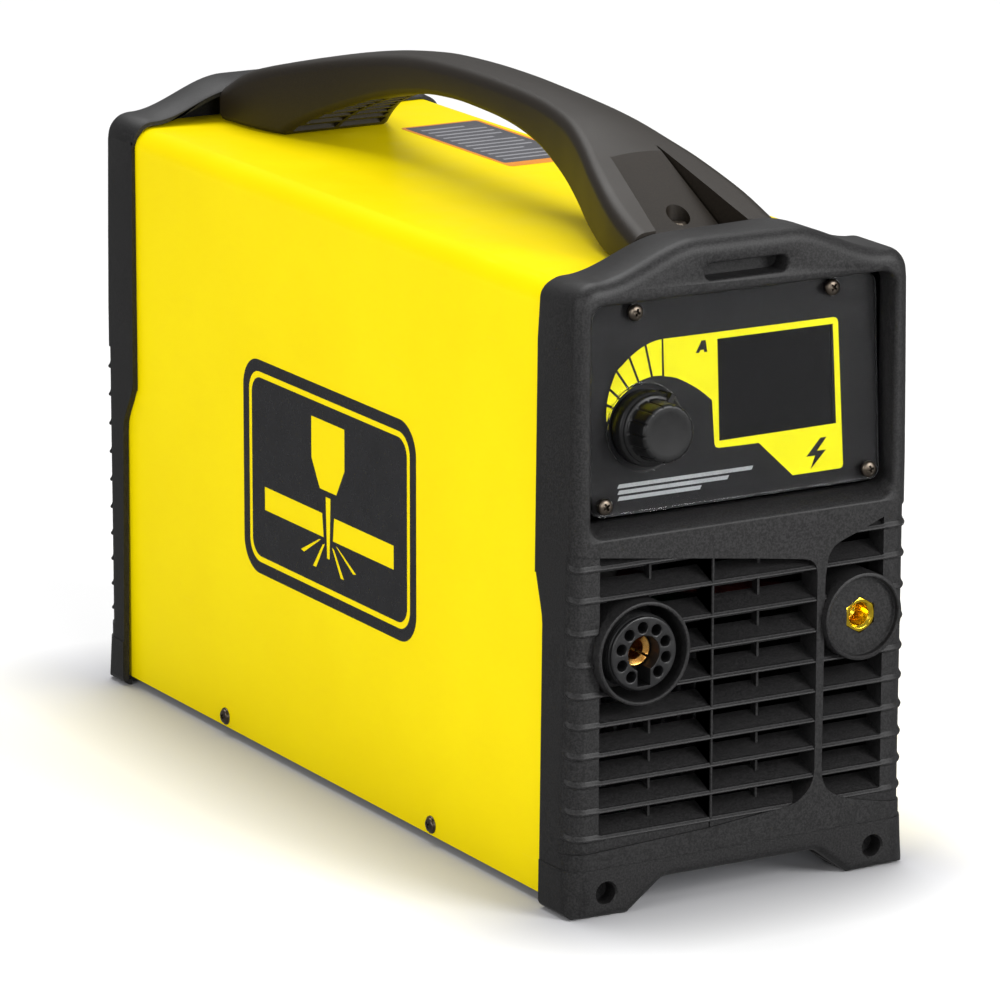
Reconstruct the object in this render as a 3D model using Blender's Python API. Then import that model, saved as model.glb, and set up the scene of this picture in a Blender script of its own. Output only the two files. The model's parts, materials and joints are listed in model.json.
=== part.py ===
"""Portable plasma cutter: an inverter in a folded steel cover between two moulded end bezels.

Metres, +Z up. The origin is on the floor under the middle of the machine, the front faces -Y
and +X is on the right of someone who looks at the front.
"""
import math

import bmesh
import bpy
from mathutils import Matrix, Vector

MM = 0.001
GAP = 0.3 * MM                      # clearance between pieces that touch

# Driving dimensions -------------------------------------------------------------------------
BODY_LENGTH = 477.8 * MM            # front face of the front bezel to rear face of the rear one
TOP_HALF_WIDTH = 90.3 * MM          # half width of a bezel at FLARE_FROM
FLARE_FROM = 300 * MM
FLARE = 0.011                       # growth of the half width for each metre below FLARE_FROM
SHOULDER_Z = 301 * MM
HUMP_Z = 316.5 * MM
HUMP_FLAT_X = 25 * MM
HUMP_FOOT_X = 78 * MM
CORNER_RADIUS = 12 * MM
FOOT_INNER_X = 60.8 * MM
RAMP_INNER_X = 43 * MM
UNDERSIDE_Z = 14 * MM
WALL = 3 * MM
FACE_THICKNESS = 14 * MM
FRONT_EDGE_ROUND = 4 * MM

FRONT_DEPTH_UPPER = 35.4 * MM
FRONT_DEPTH_LOWER = 28.0 * MM
REAR_DEPTH_UPPER = 32.2 * MM
REAR_DEPTH_LOWER = 21.5 * MM
STEP_LOW_Z = 140.8 * MM
STEP_HIGH_Z = 162.5 * MM

COVER_HALF_WIDTH = 88.6 * MM
COVER_TOP_Z = 297 * MM
COVER_BOTTOM_Z = 4.1 * MM
COVER_FOLD_RADIUS = 10.5 * MM
COVER_THICKNESS = 1.2 * MM
COVER_TUCK = 6 * MM

RECESS_HALF_WIDTH = 82.3 * MM
RECESS_BOTTOM_Z = 181.5 * MM
RECESS_TOP_Z = 290.5 * MM
RECESS_RADIUS = 7 * MM
RECESS_DEPTH = 21 * MM
RECESS_FLOOR = 2.5 * MM

PANEL_TILT = math.radians(3.27)
PANEL_PIVOT_DEPTH = 8.9 * MM        # shield face behind the bezel face at PANEL_PIVOT_Z
PANEL_PIVOT_Z = 239.2 * MM
SHIELD_HALF_WIDTH = 78.5 * MM
SHIELD_HALF_HEIGHT = 49.4 * MM
SHIELD_THICKNESS = 3 * MM
OVERLAY_THICKNESS = 2 * MM
DISPLAY_X = (-9.0 * MM, 54.6 * MM)
DISPLAY_Z = (-22.0 * MM, 27.4 * MM)

KNOB_X = -48.5 * MM
KNOB_Z = -9.9 * MM                  # along the panel, from PANEL_PIVOT_Z
KNOB_HOLE_RADIUS = 20.4 * MM
KNOB_SKIRT_RADIUS = 17.7 * MM
KNOB_SKIRT_HEIGHT = 7 * MM
KNOB_CAP_RADIUS = 13.7 * MM
KNOB_REACH = 19.8 * MM
KNOB_GROOVES = 12

TORCH_X = -56 * MM
TORCH_Z = 125.5 * MM
TORCH_HOOD_RADIUS = 24.9 * MM
TORCH_HOOD_WALL = 2.0 * MM
TORCH_HOOD_REACH = 4.3 * MM
TORCH_BODY_RADIUS = 18.3 * MM
TORCH_BODY_REACH = 3.4 * MM
TORCH_BORE = 8.4 * MM
TORCH_HOLE_RING = 12.4 * MM
TORCH_CONTACT_RADIUS = 7.9 * MM
TORCH_CONTACT_BORE = 5.2 * MM
TORCH_CONTACT_DEPTH = 10.8 * MM     # from the socket's face to the contact
TERMINAL_X = 65 * MM
TERMINAL_Z = 126.5 * MM
TERMINAL_RADIUS = 21.3 * MM
TERMINAL_REACH = 3.5 * MM
TERMINAL_RIM = 2.3 * MM
TERMINAL_FLOOR = 3.4 * MM             # depth of the floor behind the rim
HEX_ACROSS_FLATS = 15.2 * MM

SLAT_COUNT = 10
FIRST_SLAT_Z = 169.8 * MM
FIRST_PITCH = 16.2 * MM
LAST_PITCH = 13.4 * MM
SLAT_THICKNESS = 2.6 * MM
SLAT_RISE = 5 * MM                  # how much higher a slat is at its back than at its front
GRILLE_COLUMNS = ((-77.0, -16.8), (-15.5, 40.8), (45.0, 78.5))   # millimetres along X

SLOT_HALF_LENGTH = 22.6 * MM
SLOT_RADIUS = 3.9 * MM
SLOT_Z = 300.8 * MM
SLOT_DEPTH = 11.5 * MM
FOOT_HOLE_X = 73.9 * MM
FOOT_HOLE_Z = 11.2 * MM
FOOT_HOLE_RADIUS = 5.2 * MM

TRAY_HALF_WIDTH = COVER_HALF_WIDTH - COVER_THICKNESS - GAP
TRAY_THICKNESS = 1.5 * MM
TRAY_Z = UNDERSIDE_Z + WALL + GAP
COVER_SCREWS_Y = (112.5 * MM, -100.3 * MM)
COVER_SCREW_Z = 9.5 * MM

FRONT_Y = -BODY_LENGTH / 2
REAR_Y = BODY_LENGTH / 2
FRONT_RIM_Y = FRONT_Y + FRONT_DEPTH_UPPER
REAR_RIM_Y = REAR_Y - REAR_DEPTH_UPPER
COVER_FRONT_Y = FRONT_Y + FRONT_DEPTH_LOWER - COVER_TUCK
COVER_REAR_Y = REAR_Y - REAR_DEPTH_LOWER + COVER_TUCK
KNOB_TIP_Z = PANEL_PIVOT_Z + KNOB_Z * math.cos(PANEL_TILT) + KNOB_REACH * math.sin(PANEL_TILT)
KNOB_TIP_Y = (FRONT_Y + PANEL_PIVOT_DEPTH + KNOB_Z * math.sin(PANEL_TILT)
              - KNOB_REACH * math.cos(PANEL_TILT) - KNOB_CAP_RADIUS * math.sin(PANEL_TILT))
REAR_REACH = -KNOB_TIP_Y            # the rear fittings reach as far back as the knob reaches out

# Handle: height of its top and of the arch under it, and its half width, along Y
HANDLE_TOP = ((-203, 314.8), (-190, 319.8), (-170, 327.7), (-140, 339.2), (-110, 348.6), (-80, 353.1),
              (-45, 355.4), (-10, 356.2), (20, 355.8), (50, 354.2), (80, 350.4), (110, 345.2),
              (140, 338.9), (170, 331.5), (190, 325.0), (206, 316.5))
HANDLE_ARCH = ((-177, 297.3), (-165, 299.2), (-150, 303.2), (-122, 312.2), (-93, 322.5), (-70, 330.2),
               (-40, 335.6), (0, 337.8), (20, 337.5), (43, 335.5), (83, 327.5), (120, 315.5),
               (143, 305.5), (157, 297.3))
HANDLE_HALF_WIDTH = ((-203, 40.2), (-178, 38.2), (-150, 31.6), (-125, 23.8), (-100, 17.9), (-70, 14.6),
                     (-30, 14), (60, 14), (85, 15.5), (115, 20), (145, 29), (175, 37), (206, 40))

# Rear fittings
REAR_RECESS_DEPTH = 9 * MM
SWITCH_X, SWITCH_Z = -44 * MM, 240 * MM
SWITCH_HALF_WIDTH, SWITCH_HALF_HEIGHT = 13.5 * MM, 19.5 * MM
GLAND_X, GLAND_Z = 40 * MM, 262 * MM
GLAND_THREAD_RADIUS = 10 * MM
GLAND_BORE = 5.2 * MM
INLET_X, INLET_Z = 40 * MM, 212 * MM
INLET_THREAD_RADIUS = 6.5 * MM
REAR_PANEL_Y = REAR_Y - REAR_RECESS_DEPTH            # outer face of the recessed rear panel
REAR_PANEL_BACK_Y = REAR_Y - FACE_THICKNESS          # its inner face
ROCKER_REST = math.radians(8)
ROCKER_AXIS_Y = REAR_PANEL_Y - 3 * MM


# Screws, fan, inverter and air valve
HANDLE_SCREWS_Y = (-178 * MM, 182 * MM)
HANDLE_SCREW_RADIUS = 2.8 * MM
HANDLE_SCREW_SEAT_Z = 307.8 * MM
PANEL_SCREWS = ((-53.5, 44.2), (53.5, 44.2), (-72.1, -44.3), (72.1, -44.3))     # millimetres
FAN_Z = 97 * MM
FAN_HALF = 60 * MM
FAN_RADIUS = 56.5 * MM
FAN_BACK_Y = REAR_Y - FACE_THICKNESS - 4 * MM
FAN_FRONT_Y = FAN_BACK_Y - 25 * MM
FAN_HUB_RADIUS = 20 * MM
FAN_BLADES = 7
BOARD_Z = 88 * MM
SINK_BASE_Z = 62 * MM
SINK_BOTTOM_Z = 24 * MM
VALVE_X, VALVE_Y, VALVE_Z = -20 * MM, 168 * MM, 212 * MM
PLUNGER_STROKE = 2.5 * MM


# Building blocks ----------------------------------------------------------------------------
def clear_scene():
    for thing in list(bpy.data.objects):
        bpy.data.objects.remove(thing, do_unlink=True)


def finish(name, red, green, blue, roughness, metallic=0.0, alpha=1.0):
    material = bpy.data.materials.new(name)
    material.use_nodes = True
    shader = material.node_tree.nodes["Principled BSDF"]
    shader.inputs["Base Color"].default_value = (red, green, blue, 1)
    shader.inputs["Roughness"].default_value = roughness
    shader.inputs["Metallic"].default_value = metallic
    shader.inputs["Alpha"].default_value = alpha
    return material


def place(name, mesh_maker, material, parent=None, location=(0, 0, 0)):
    mesh = bpy.data.meshes.new(name)
    bmesh.ops.recalc_face_normals(mesh_maker, faces=mesh_maker.faces)
    mesh_maker.to_mesh(mesh)
    mesh_maker.free()
    mesh.materials.append(material)
    mesh.shade_smooth()
    mesh.set_sharp_from_angle(angle=math.radians(30))
    thing = bpy.data.objects.new(name, mesh)
    thing.location = location
    thing.parent = parent
    bpy.context.collection.objects.link(thing)
    return thing


def tool(name, mesh_maker, parent=None, location=(0, 0, 0)):
    """A shape that only cuts or extends another one."""
    thing = place(name, mesh_maker, MATERIALS["charcoal"], parent, location)
    thing.hide_render = True
    thing.display_type = 'WIRE'
    return thing


def combine(target, other, operation):
    modifier = target.modifiers.new(other.name, 'BOOLEAN')
    modifier.operation = operation
    modifier.solver = 'EXACT'
    modifier.object = other


def cut(target, mesh_maker, parent=None, location=(0, 0, 0)):
    combine(target, tool(target.name + "_cut", mesh_maker, parent, location), 'DIFFERENCE')


def add(target, mesh_maker, parent=None, location=(0, 0, 0)):
    combine(target, tool(target.name + "_add", mesh_maker, parent, location), 'UNION')


def loft(rings, shape=None):
    """A closed solid through rings of points, with flat ends."""
    shape = shape or bmesh.new()
    loops = [[shape.verts.new(point) for point in ring] for ring in rings]
    count = len(rings[0])
    for near, far in zip(loops, loops[1:]):
        for i in range(count):
            j = (i + 1) % count
            shape.faces.new((near[i], near[j], far[j], far[i]))
    shape.faces.new(loops[0][::-1])
    shape.faces.new(loops[-1])
    return shape


def along(axis, point, height):
    """A 2-D outline point set at a height along an axis."""
    a, b = point
    return {'X': (height, a, b), 'Y': (a, height, b), 'Z': (a, b, height)}[axis]


def prism(outline, axis, low, high, shape=None):
    rings = [[along(axis, point, height) for point in outline] for height in (low, high)]
    return loft(rings, shape)


def block(low, high, shape=None):
    corners = ((low[0], low[1]), (high[0], low[1]), (high[0], high[1]), (low[0], high[1]))
    return prism(corners, 'Z', low[2], high[2], shape)


def rounded_rectangle(low, high, radius, steps=3):
    points = []
    centres = ((high[0] - radius, high[1] - radius), (low[0] + radius, high[1] - radius),
               (low[0] + radius, low[1] + radius), (high[0] - radius, low[1] + radius))
    for quarter, (a, b) in enumerate(centres):
        for step in range(steps + 1):
            angle = math.pi / 2 * (quarter + step / steps)
            points.append((a + radius * math.cos(angle), b + radius * math.sin(angle)))
    return points


def circle(centre, radius, segments=24, phase=0.0):
    turns = [phase + 2 * math.pi * i / segments for i in range(segments)]
    return [(centre[0] + radius * math.cos(t), centre[1] + radius * math.sin(t)) for t in turns]


def cylinder(axis, centre, radius, low, high, segments=24, shape=None):
    return prism(circle(centre, radius, segments), axis, low, high, shape)


def turned(axis, centre, profile, segments=28, shape=None):
    """A closed (radius, height) profile turned round an axis; radius 0 is a point on the axis."""
    shape = shape or bmesh.new()
    loops = []
    for radius, height in profile:
        if radius < 1e-9:
            loops.append([shape.verts.new(along(axis, centre, height))] * segments)
        else:
            loops.append([shape.verts.new(along(axis, point, height))
                          for point in circle(centre, radius, segments)])
    pairs = list(zip(loops, loops[1:]))
    if profile[0][0] > 1e-9:
        pairs.append((loops[-1], loops[0]))
    for near, far in pairs:
        for i in range(segments):
            j = (i + 1) % segments
            corners = list(dict.fromkeys((near[i], near[j], far[j], far[i])))
            if len(corners) > 2:
                shape.faces.new(corners)
    return shape


def interpolate(table, y):
    """Smooth value between the points of a (y, value) table, both in millimetres."""
    count = len(table)
    if y <= table[0][0]:
        return table[0][1]
    if y >= table[-1][0]:
        return table[-1][1]
    i = max(k for k in range(count - 1) if table[k][0] <= y)
    (y1, v1), (y2, v2) = table[i], table[i + 1]
    before = table[i - 1] if i > 0 else table[i]
    after = table[i + 2] if i + 2 < count else table[i + 1]
    slope1 = (v2 - before[1]) / (y2 - before[0])
    slope2 = (after[1] - v1) / (after[0] - y1)
    step = y2 - y1
    t = (y - y1) / step
    return ((2 * t ** 3 - 3 * t ** 2 + 1) * v1 + (t ** 3 - 2 * t ** 2 + t) * step * slope1
            + (3 * t ** 2 - 2 * t ** 3) * v2 + (t ** 3 - t ** 2) * step * slope2)


# Bezels -------------------------------------------------------------------------------------
def half_width(z):
    return TOP_HALF_WIDTH + FLARE * (FLARE_FROM - z)


def hump_height(x):
    t = min(max((HUMP_FOOT_X - abs(x)) / (HUMP_FOOT_X - HUMP_FLAT_X), 0), 1)
    return SHOULDER_Z + (HUMP_Z - SHOULDER_Z) * t * t * (3 - 2 * t)


def bezel_outline():
    """Right half from the middle underside up to the middle of the hump, then its mirror."""
    right = [(RAMP_INNER_X, UNDERSIDE_Z), (FOOT_INNER_X, 0), (half_width(0), 0)]
    centre_z = SHOULDER_Z - CORNER_RADIUS
    centre_x = half_width(centre_z) - CORNER_RADIUS
    for step in range(6):
        angle = math.pi / 2 * step / 5
        right.append((centre_x + CORNER_RADIUS * math.cos(angle),
                      centre_z + CORNER_RADIUS * math.sin(angle)))
    for step in range(1, 9):
        x = HUMP_FOOT_X + (HUMP_FLAT_X - HUMP_FOOT_X) * step / 8
        right.append((x, hump_height(x)))
    return right + [(-x, z) for x, z in reversed(right)]


def inset(outline, distance):
    """Move every edge of a counter-clockwise outline inwards by a distance."""
    moved = []
    count = len(outline)
    for i in range(count):
        before, here, after = (Vector(outline[k % count]) for k in (i - 1, i, i + 1))
        first = (here - before).normalized()
        second = (after - here).normalized()
        normal = (Vector((-first.y, first.x)) + Vector((-second.y, second.x))).normalized()
        reach = distance / normal.dot(Vector((-first.y, first.x)))
        moved.append(tuple(here + normal * reach))
    return moved


def cover_section(grow=0.0):
    """Outer outline of the cover, grown all round, closed below."""
    half = COVER_HALF_WIDTH + grow
    radius = COVER_FOLD_RADIUS + grow
    top = COVER_TOP_Z + grow
    right = [(half, COVER_BOTTOM_Z - grow)]
    for step in range(7):
        angle = math.pi / 2 * step / 6
        right.append((half - radius + radius * math.cos(angle), top - radius + radius * math.sin(angle)))
    return right + [(-x, z) for x, z in reversed(right)]


def bezel_shell(name, face_y, inward, depth_upper, depth_lower, tuck_y):
    """The moulded end cap before its own openings; inward is +1 at the front and -1 at the rear."""
    outline = bezel_outline()
    rim_y = face_y + inward * depth_upper
    beyond = rim_y + inward * MM
    rings = []
    for inner, depth in ((FRONT_EDGE_ROUND, 0), (FRONT_EDGE_ROUND * 0.3, FRONT_EDGE_ROUND * 0.3),
                         (0, FRONT_EDGE_ROUND), (0, depth_upper)):
        ring = inset(outline, inner) if inner else outline
        rings.append([(x, face_y + inward * depth, z) for x, z in ring])
    bezel = place(name, loft(rings), MATERIALS["charcoal"])
    cut(bezel, prism(inset(outline, WALL), 'Y', face_y + inward * FACE_THICKNESS, beyond))
    cut(bezel, prism(cover_section(GAP), 'Y', tuck_y, beyond))
    step_y = face_y + inward * depth_lower
    step_outline = ((step_y, -5 * MM), (step_y, STEP_LOW_Z), (rim_y, STEP_HIGH_Z),
                    (beyond, STEP_HIGH_Z), (beyond, -5 * MM))
    cut(bezel, prism(step_outline, 'X', -0.12, 0.12))
    holes = bmesh.new()
    for side in (-1, 1):
        cylinder('Y', (side * FOOT_HOLE_X, FOOT_HOLE_Z), FOOT_HOLE_RADIUS,
                 face_y - inward * MM, face_y + inward * 9 * MM, 20, holes)
    cut(bezel, holes)
    return bezel


def slat_heights():
    heights = [FIRST_SLAT_Z]
    for i in range(SLAT_COUNT - 1):
        heights.append(heights[-1] - (FIRST_PITCH + (LAST_PITCH - FIRST_PITCH) * i / (SLAT_COUNT - 2)))
    return heights


def grille_cutter(face_y, inward, columns):
    """Sloping slots between the slats, wider than the face is thick."""
    near = face_y - inward * 2 * MM
    far = face_y + inward * (FACE_THICKNESS + 2 * MM)
    rise = SLAT_RISE
    shape = bmesh.new()
    heights = slat_heights()
    for upper, lower in zip(heights, heights[1:]):
        top, bottom = upper - SLAT_THICKNESS, lower
        outline = ((near, bottom - rise * 0.15), (far, bottom + rise), (far, top + rise),
                   (near, top - rise * 0.15))
        for low_x, high_x in columns:
            prism(outline, 'X', low_x * MM, high_x * MM, shape)
    return shape


def make_front_bezel():
    bezel = bezel_shell("front_bezel", FRONT_Y, 1, FRONT_DEPTH_UPPER, FRONT_DEPTH_LOWER,
                        COVER_FRONT_Y - GAP)
    wall = 2.5 * MM
    add(bezel, block((-RECESS_HALF_WIDTH - wall, FRONT_Y + 10 * MM, RECESS_BOTTOM_Z - wall),
                     (RECESS_HALF_WIDTH + wall, FRONT_Y + RECESS_DEPTH + RECESS_FLOOR,
                      RECESS_TOP_Z + wall)))
    recess = rounded_rectangle((-RECESS_HALF_WIDTH, RECESS_BOTTOM_Z),
                               (RECESS_HALF_WIDTH, RECESS_TOP_Z), RECESS_RADIUS)
    cut(bezel, prism(recess, 'Y', FRONT_Y - 5 * MM, FRONT_Y + RECESS_DEPTH))
    floor = bmesh.new()
    low_z, high_z = (PANEL_PIVOT_Z + z for z in DISPLAY_Z)
    near, far = FRONT_Y + RECESS_DEPTH - 2 * MM, FRONT_Y + RECESS_DEPTH + 5 * MM
    block((DISPLAY_X[0] - 7 * MM, near, low_z - 7 * MM), (DISPLAY_X[1] + 7 * MM, far, high_z + 7 * MM),
          floor)
    cylinder('Y', (KNOB_X, PANEL_PIVOT_Z + KNOB_Z), 13 * MM, near, far, 20, floor)
    cut(bezel, floor)
    slot = rounded_rectangle((-SLOT_HALF_LENGTH, SLOT_Z - SLOT_RADIUS),
                             (SLOT_HALF_LENGTH, SLOT_Z + SLOT_RADIUS), SLOT_RADIUS * 0.99, 5)
    cut(bezel, prism(slot, 'Y', FRONT_Y - 5 * MM, FRONT_Y + SLOT_DEPTH))
    cut(bezel, grille_cutter(FRONT_Y, 1, GRILLE_COLUMNS))
    # solid collars round the two sockets, then their bores
    collars = bmesh.new()
    cylinder('Y', (TORCH_X, TORCH_Z), TORCH_HOOD_RADIUS + 2.6 * MM, FRONT_Y + 3 * MM,
             FRONT_Y + FACE_THICKNESS + 4 * MM, 28, collars)
    cylinder('Y', (TERMINAL_X, TERMINAL_Z), TERMINAL_RADIUS + 2.4 * MM, FRONT_Y + 3 * MM,
             FRONT_Y + FACE_THICKNESS + 4 * MM, 28, collars)
    add(bezel, collars)
    bores = bmesh.new()
    cylinder('Y', (TORCH_X, TORCH_Z), TORCH_HOOD_RADIUS + GAP, FRONT_Y - 5 * MM, FRONT_Y + 40 * MM, 32,
             bores)
    cylinder('Y', (TERMINAL_X, TERMINAL_Z), TERMINAL_RADIUS + GAP, FRONT_Y - 5 * MM, FRONT_Y + 40 * MM, 32,
             bores)
    cut(bezel, bores)
    return bezel


def make_rear_bezel():
    bezel = bezel_shell("rear_bezel", REAR_Y, -1, REAR_DEPTH_UPPER, REAR_DEPTH_LOWER,
                        COVER_REAR_Y + GAP)
    wall = 2.5 * MM
    depth = REAR_RECESS_DEPTH
    recess = rounded_rectangle((-RECESS_HALF_WIDTH, RECESS_BOTTOM_Z),
                               (RECESS_HALF_WIDTH, RECESS_TOP_Z), RECESS_RADIUS)
    cut(bezel, prism(recess, 'Y', REAR_Y - depth, REAR_Y + 5 * MM))
    cut(bezel, grille_cutter(REAR_Y, -1, [(-high, -low) for low, high in GRILLE_COLUMNS]))
    holes = bmesh.new()
    near, far = REAR_Y - FACE_THICKNESS - wall, REAR_Y
    low, high = (-SWITCH_HALF_WIDTH - GAP, -SWITCH_HALF_HEIGHT - GAP), (SWITCH_HALF_WIDTH + GAP,
                                                                        SWITCH_HALF_HEIGHT + GAP)
    block((SWITCH_X + low[0], near, SWITCH_Z + low[1]), (SWITCH_X + high[0], far, SWITCH_Z + high[1]),
          holes)
    cylinder('Y', (GLAND_X, GLAND_Z), GLAND_THREAD_RADIUS + GAP, near, far, 24, holes)
    cylinder('Y', (INLET_X, INLET_Z), INLET_THREAD_RADIUS + GAP, near, far, 24, holes)
    cut(bezel, holes)
    return bezel


# Cover, tray and handle ---------------------------------------------------------------------
def make_cover():
    outer = cover_section()
    radius = COVER_FOLD_RADIUS - COVER_THICKNESS
    half = COVER_HALF_WIDTH - COVER_THICKNESS
    top = COVER_TOP_Z - COVER_THICKNESS
    inner = [(half, COVER_BOTTOM_Z)]
    for step in range(7):
        angle = math.pi / 2 * step / 6
        inner.append((half - radius + radius * math.cos(angle), top - radius + radius * math.sin(angle)))
    inner = inner + [(-x, z) for x, z in reversed(inner)]
    cover = place("cover", prism(outer + inner[::-1], 'Y', COVER_FRONT_Y, COVER_REAR_Y),
                  MATERIALS["yellow"])
    holes = bmesh.new()
    for side in (-1, 1):
        low, high = sorted((side * 0.08, side * 0.1))
        for y in COVER_SCREWS_Y:
            cylinder('X', (y, COVER_SCREW_Z), 2.3 * MM, low, high, 12, holes)
    for y in HANDLE_SCREWS_Y:
        cylinder('Z', (0, y), 3.3 * MM, 0.28, 0.31, 12, holes)
    cut(cover, holes)
    return cover


def make_tray():
    half, thick = TRAY_HALF_WIDTH, TRAY_THICKNESS
    flange_bottom = COVER_BOTTOM_Z + 0.6 * MM
    section = ((half, flange_bottom), (half, TRAY_Z + thick), (-half, TRAY_Z + thick),
               (-half, flange_bottom), (-half + thick, flange_bottom), (-half + thick, TRAY_Z),
               (half - thick, TRAY_Z), (half - thick, flange_bottom))
    front = FRONT_Y + FRONT_DEPTH_LOWER + GAP
    rear = REAR_Y - REAR_DEPTH_LOWER - GAP
    tray = place("base_tray", prism(section, 'Y', front, rear), MATERIALS["tray"])
    tongue = TRAY_HALF_WIDTH - 3 * MM
    reach = REAR_Y - FACE_THICKNESS - GAP
    add(tray, block((-tongue, -reach, TRAY_Z), (tongue, reach, TRAY_Z + thick)))
    holes = bmesh.new()
    for side in (-1, 1):
        low, high = sorted((side * 0.08, side * 0.1))
        for y in COVER_SCREWS_Y:
            cylinder('X', (y, COVER_SCREW_Z), 2.3 * MM, low, high, 12, holes)
    cut(tray, holes)
    return tray


def handle_ring(y):
    """Cross-section of the handle at a station y in millimetres: a rectangle with round corners."""
    top = interpolate(HANDLE_TOP, y)
    if HANDLE_ARCH[0][0] <= y <= HANDLE_ARCH[-1][0]:
        bottom = interpolate(HANDLE_ARCH, y)
    else:
        bottom = HANDLE_ARCH[0][1]
    half = interpolate(HANDLE_HALF_WIDTH, y)
    radius = min(6.5, (top - bottom) * 0.36)
    ring = []
    for a, b in rounded_rectangle((-half, bottom), (half, top), radius, 2):
        ring.append((a * MM, y * MM, b * MM))
    return ring


def make_handle():
    stations = [-203, -192, -178, -163, -146, -128, -108, -86, -60, -30, 0, 30, 58, 84, 108, 130, 148,
                158, 174, 190, 206]
    handle = place("handle", loft([handle_ring(y) for y in stations]), MATERIALS["handle"])
    # a sloping trough between the two front rails, open to the front
    trough = bmesh.new()
    outline = ((-206 * MM, 311 * MM), (-140 * MM, 333.5 * MM), (-128 * MM, 347 * MM), (-140 * MM, 365 * MM),
               (-206 * MM, 365 * MM))
    prism(outline, 'X', -13 * MM, 24 * MM, trough)
    cut(handle, trough)
    holes = bmesh.new()
    seat_z = HANDLE_SCREW_SEAT_Z - GAP
    for y in HANDLE_SCREWS_Y:
        stepped = ((0, 0.28), (3.2 * MM, 0.28), (3.2 * MM, seat_z), (5.6 * MM, seat_z), (5.6 * MM, 0.4),
                   (0, 0.4))
        turned('Z', (0, y), stepped, 16, holes)
    cut(handle, holes)
    return handle


def make_handle_screws():
    for name, y in zip(("handle_screw_front", "handle_screw_rear"), HANDLE_SCREWS_Y):
        head_z = HANDLE_SCREW_SEAT_Z
        profile = ((0, head_z - 28 * MM), (HANDLE_SCREW_RADIUS, head_z - 28 * MM),
                   (HANDLE_SCREW_RADIUS, head_z),
                   (5.0 * MM, head_z), (5.0 * MM, head_z + 2.0 * MM), (3.6 * MM, head_z + 3.0 * MM),
                   (0, head_z + 3.0 * MM))
        place(name, turned('Z', (0, y), profile, 12), MATERIALS["dark_steel"])


def make_screw(name, axis, centre, seat, outward, parent=None, shank=9 * MM):
    """A pan-head M4 screw whose head sits on a face at height seat along the axis."""
    away = outward
    profile = ((0, seat - away * shank), (1.9 * MM, seat - away * shank), (1.9 * MM, seat),
               (4.2 * MM, seat), (4.2 * MM, seat + away * 1.2 * MM),
               (3.0 * MM, seat + away * 2.5 * MM), (0, seat + away * 2.8 * MM))
    return place(name, turned(axis, centre, profile, 10), MATERIALS["dark_steel"], parent)


def make_cover_screws():
    number = 1
    for side in (-1, 1):
        for y in COVER_SCREWS_Y:
            seat = side * (COVER_HALF_WIDTH + GAP)
            make_screw(f"cover_screw_{number}", 'X', (y, COVER_SCREW_Z), seat, side)
            number += 1


# Control panel, in the plane of an empty that leans back by PANEL_TILT -----------------------


def make_panel_plane():
    plane = bpy.data.objects.new("panel_plane", None)
    plane.location = (0, FRONT_Y + PANEL_PIVOT_DEPTH, PANEL_PIVOT_Z)
    plane.rotation_euler = (-PANEL_TILT, 0, 0)
    bpy.context.collection.objects.link(plane)
    return plane


def panel_holes(near, far):
    """Clearance holes for the four panel screws."""
    holes = bmesh.new()
    for x, z in PANEL_SCREWS:
        cylinder('Y', (x * MM, z * MM), 2.3 * MM, near, far, 12, holes)
    return holes


def make_shield(plane):
    outline = rounded_rectangle((-SHIELD_HALF_WIDTH, -SHIELD_HALF_HEIGHT),
                                (SHIELD_HALF_WIDTH, SHIELD_HALF_HEIGHT), 6 * MM)
    shield = place("panel_shield", prism(outline, 'Y', 0, SHIELD_THICKNESS), MATERIALS["clear"], plane)
    holes = panel_holes(-MM, SHIELD_THICKNESS + MM)
    cylinder('Y', (KNOB_X, KNOB_Z), KNOB_HOLE_RADIUS, -MM, SHIELD_THICKNESS + MM, 24, holes)
    cut(shield, holes, plane)


def make_overlay(plane):
    near = SHIELD_THICKNESS + GAP
    far = near + OVERLAY_THICKNESS
    outline = rounded_rectangle((-SHIELD_HALF_WIDTH, -SHIELD_HALF_HEIGHT),
                                (SHIELD_HALF_WIDTH, SHIELD_HALF_HEIGHT), 6 * MM)
    overlay = place("panel_overlay", prism(outline, 'Y', near, far), MATERIALS["panel_black"], plane)
    holes = panel_holes(near - MM, far + MM)
    cylinder('Y', (KNOB_X, KNOB_Z), 4.6 * MM, near - MM, far + MM, 16, holes)
    block((DISPLAY_X[0], near - MM, DISPLAY_Z[0]), (DISPLAY_X[1], far + MM, DISPLAY_Z[1]), holes)
    cut(overlay, holes, plane)
    return far


def make_display(plane, overlay_back):
    x0, x1 = DISPLAY_X
    z0, z1 = DISPLAY_Z
    near = overlay_back + GAP
    display = place("display_module", block((x0 - 4 * MM, near, z0 - 4 * MM),
                                            (x1 + 4 * MM, near + 7 * MM, z1 + 4 * MM)),
                    MATERIALS["display"], plane)
    glass = block((x0 + GAP, SHIELD_THICKNESS + 2 * GAP, z0 + GAP), (x1 - GAP, near + MM, z1 - GAP))
    add(display, glass, plane)


def make_encoder(plane, overlay_back):
    near = overlay_back + GAP
    body = place("encoder_body", block((KNOB_X - 8 * MM, near, KNOB_Z - 8 * MM),
                                       (KNOB_X + 8 * MM, near + 7 * MM, KNOB_Z + 8 * MM)),
                 MATERIALS["steel"], plane)
    add(body, cylinder('Y', (KNOB_X, KNOB_Z), 4.2 * MM, -3 * MM, near + MM, 16), plane)
    cut(body, cylinder('Y', (KNOB_X, KNOB_Z), 3.3 * MM, -5 * MM, near + 5 * MM, 16), plane)


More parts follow.
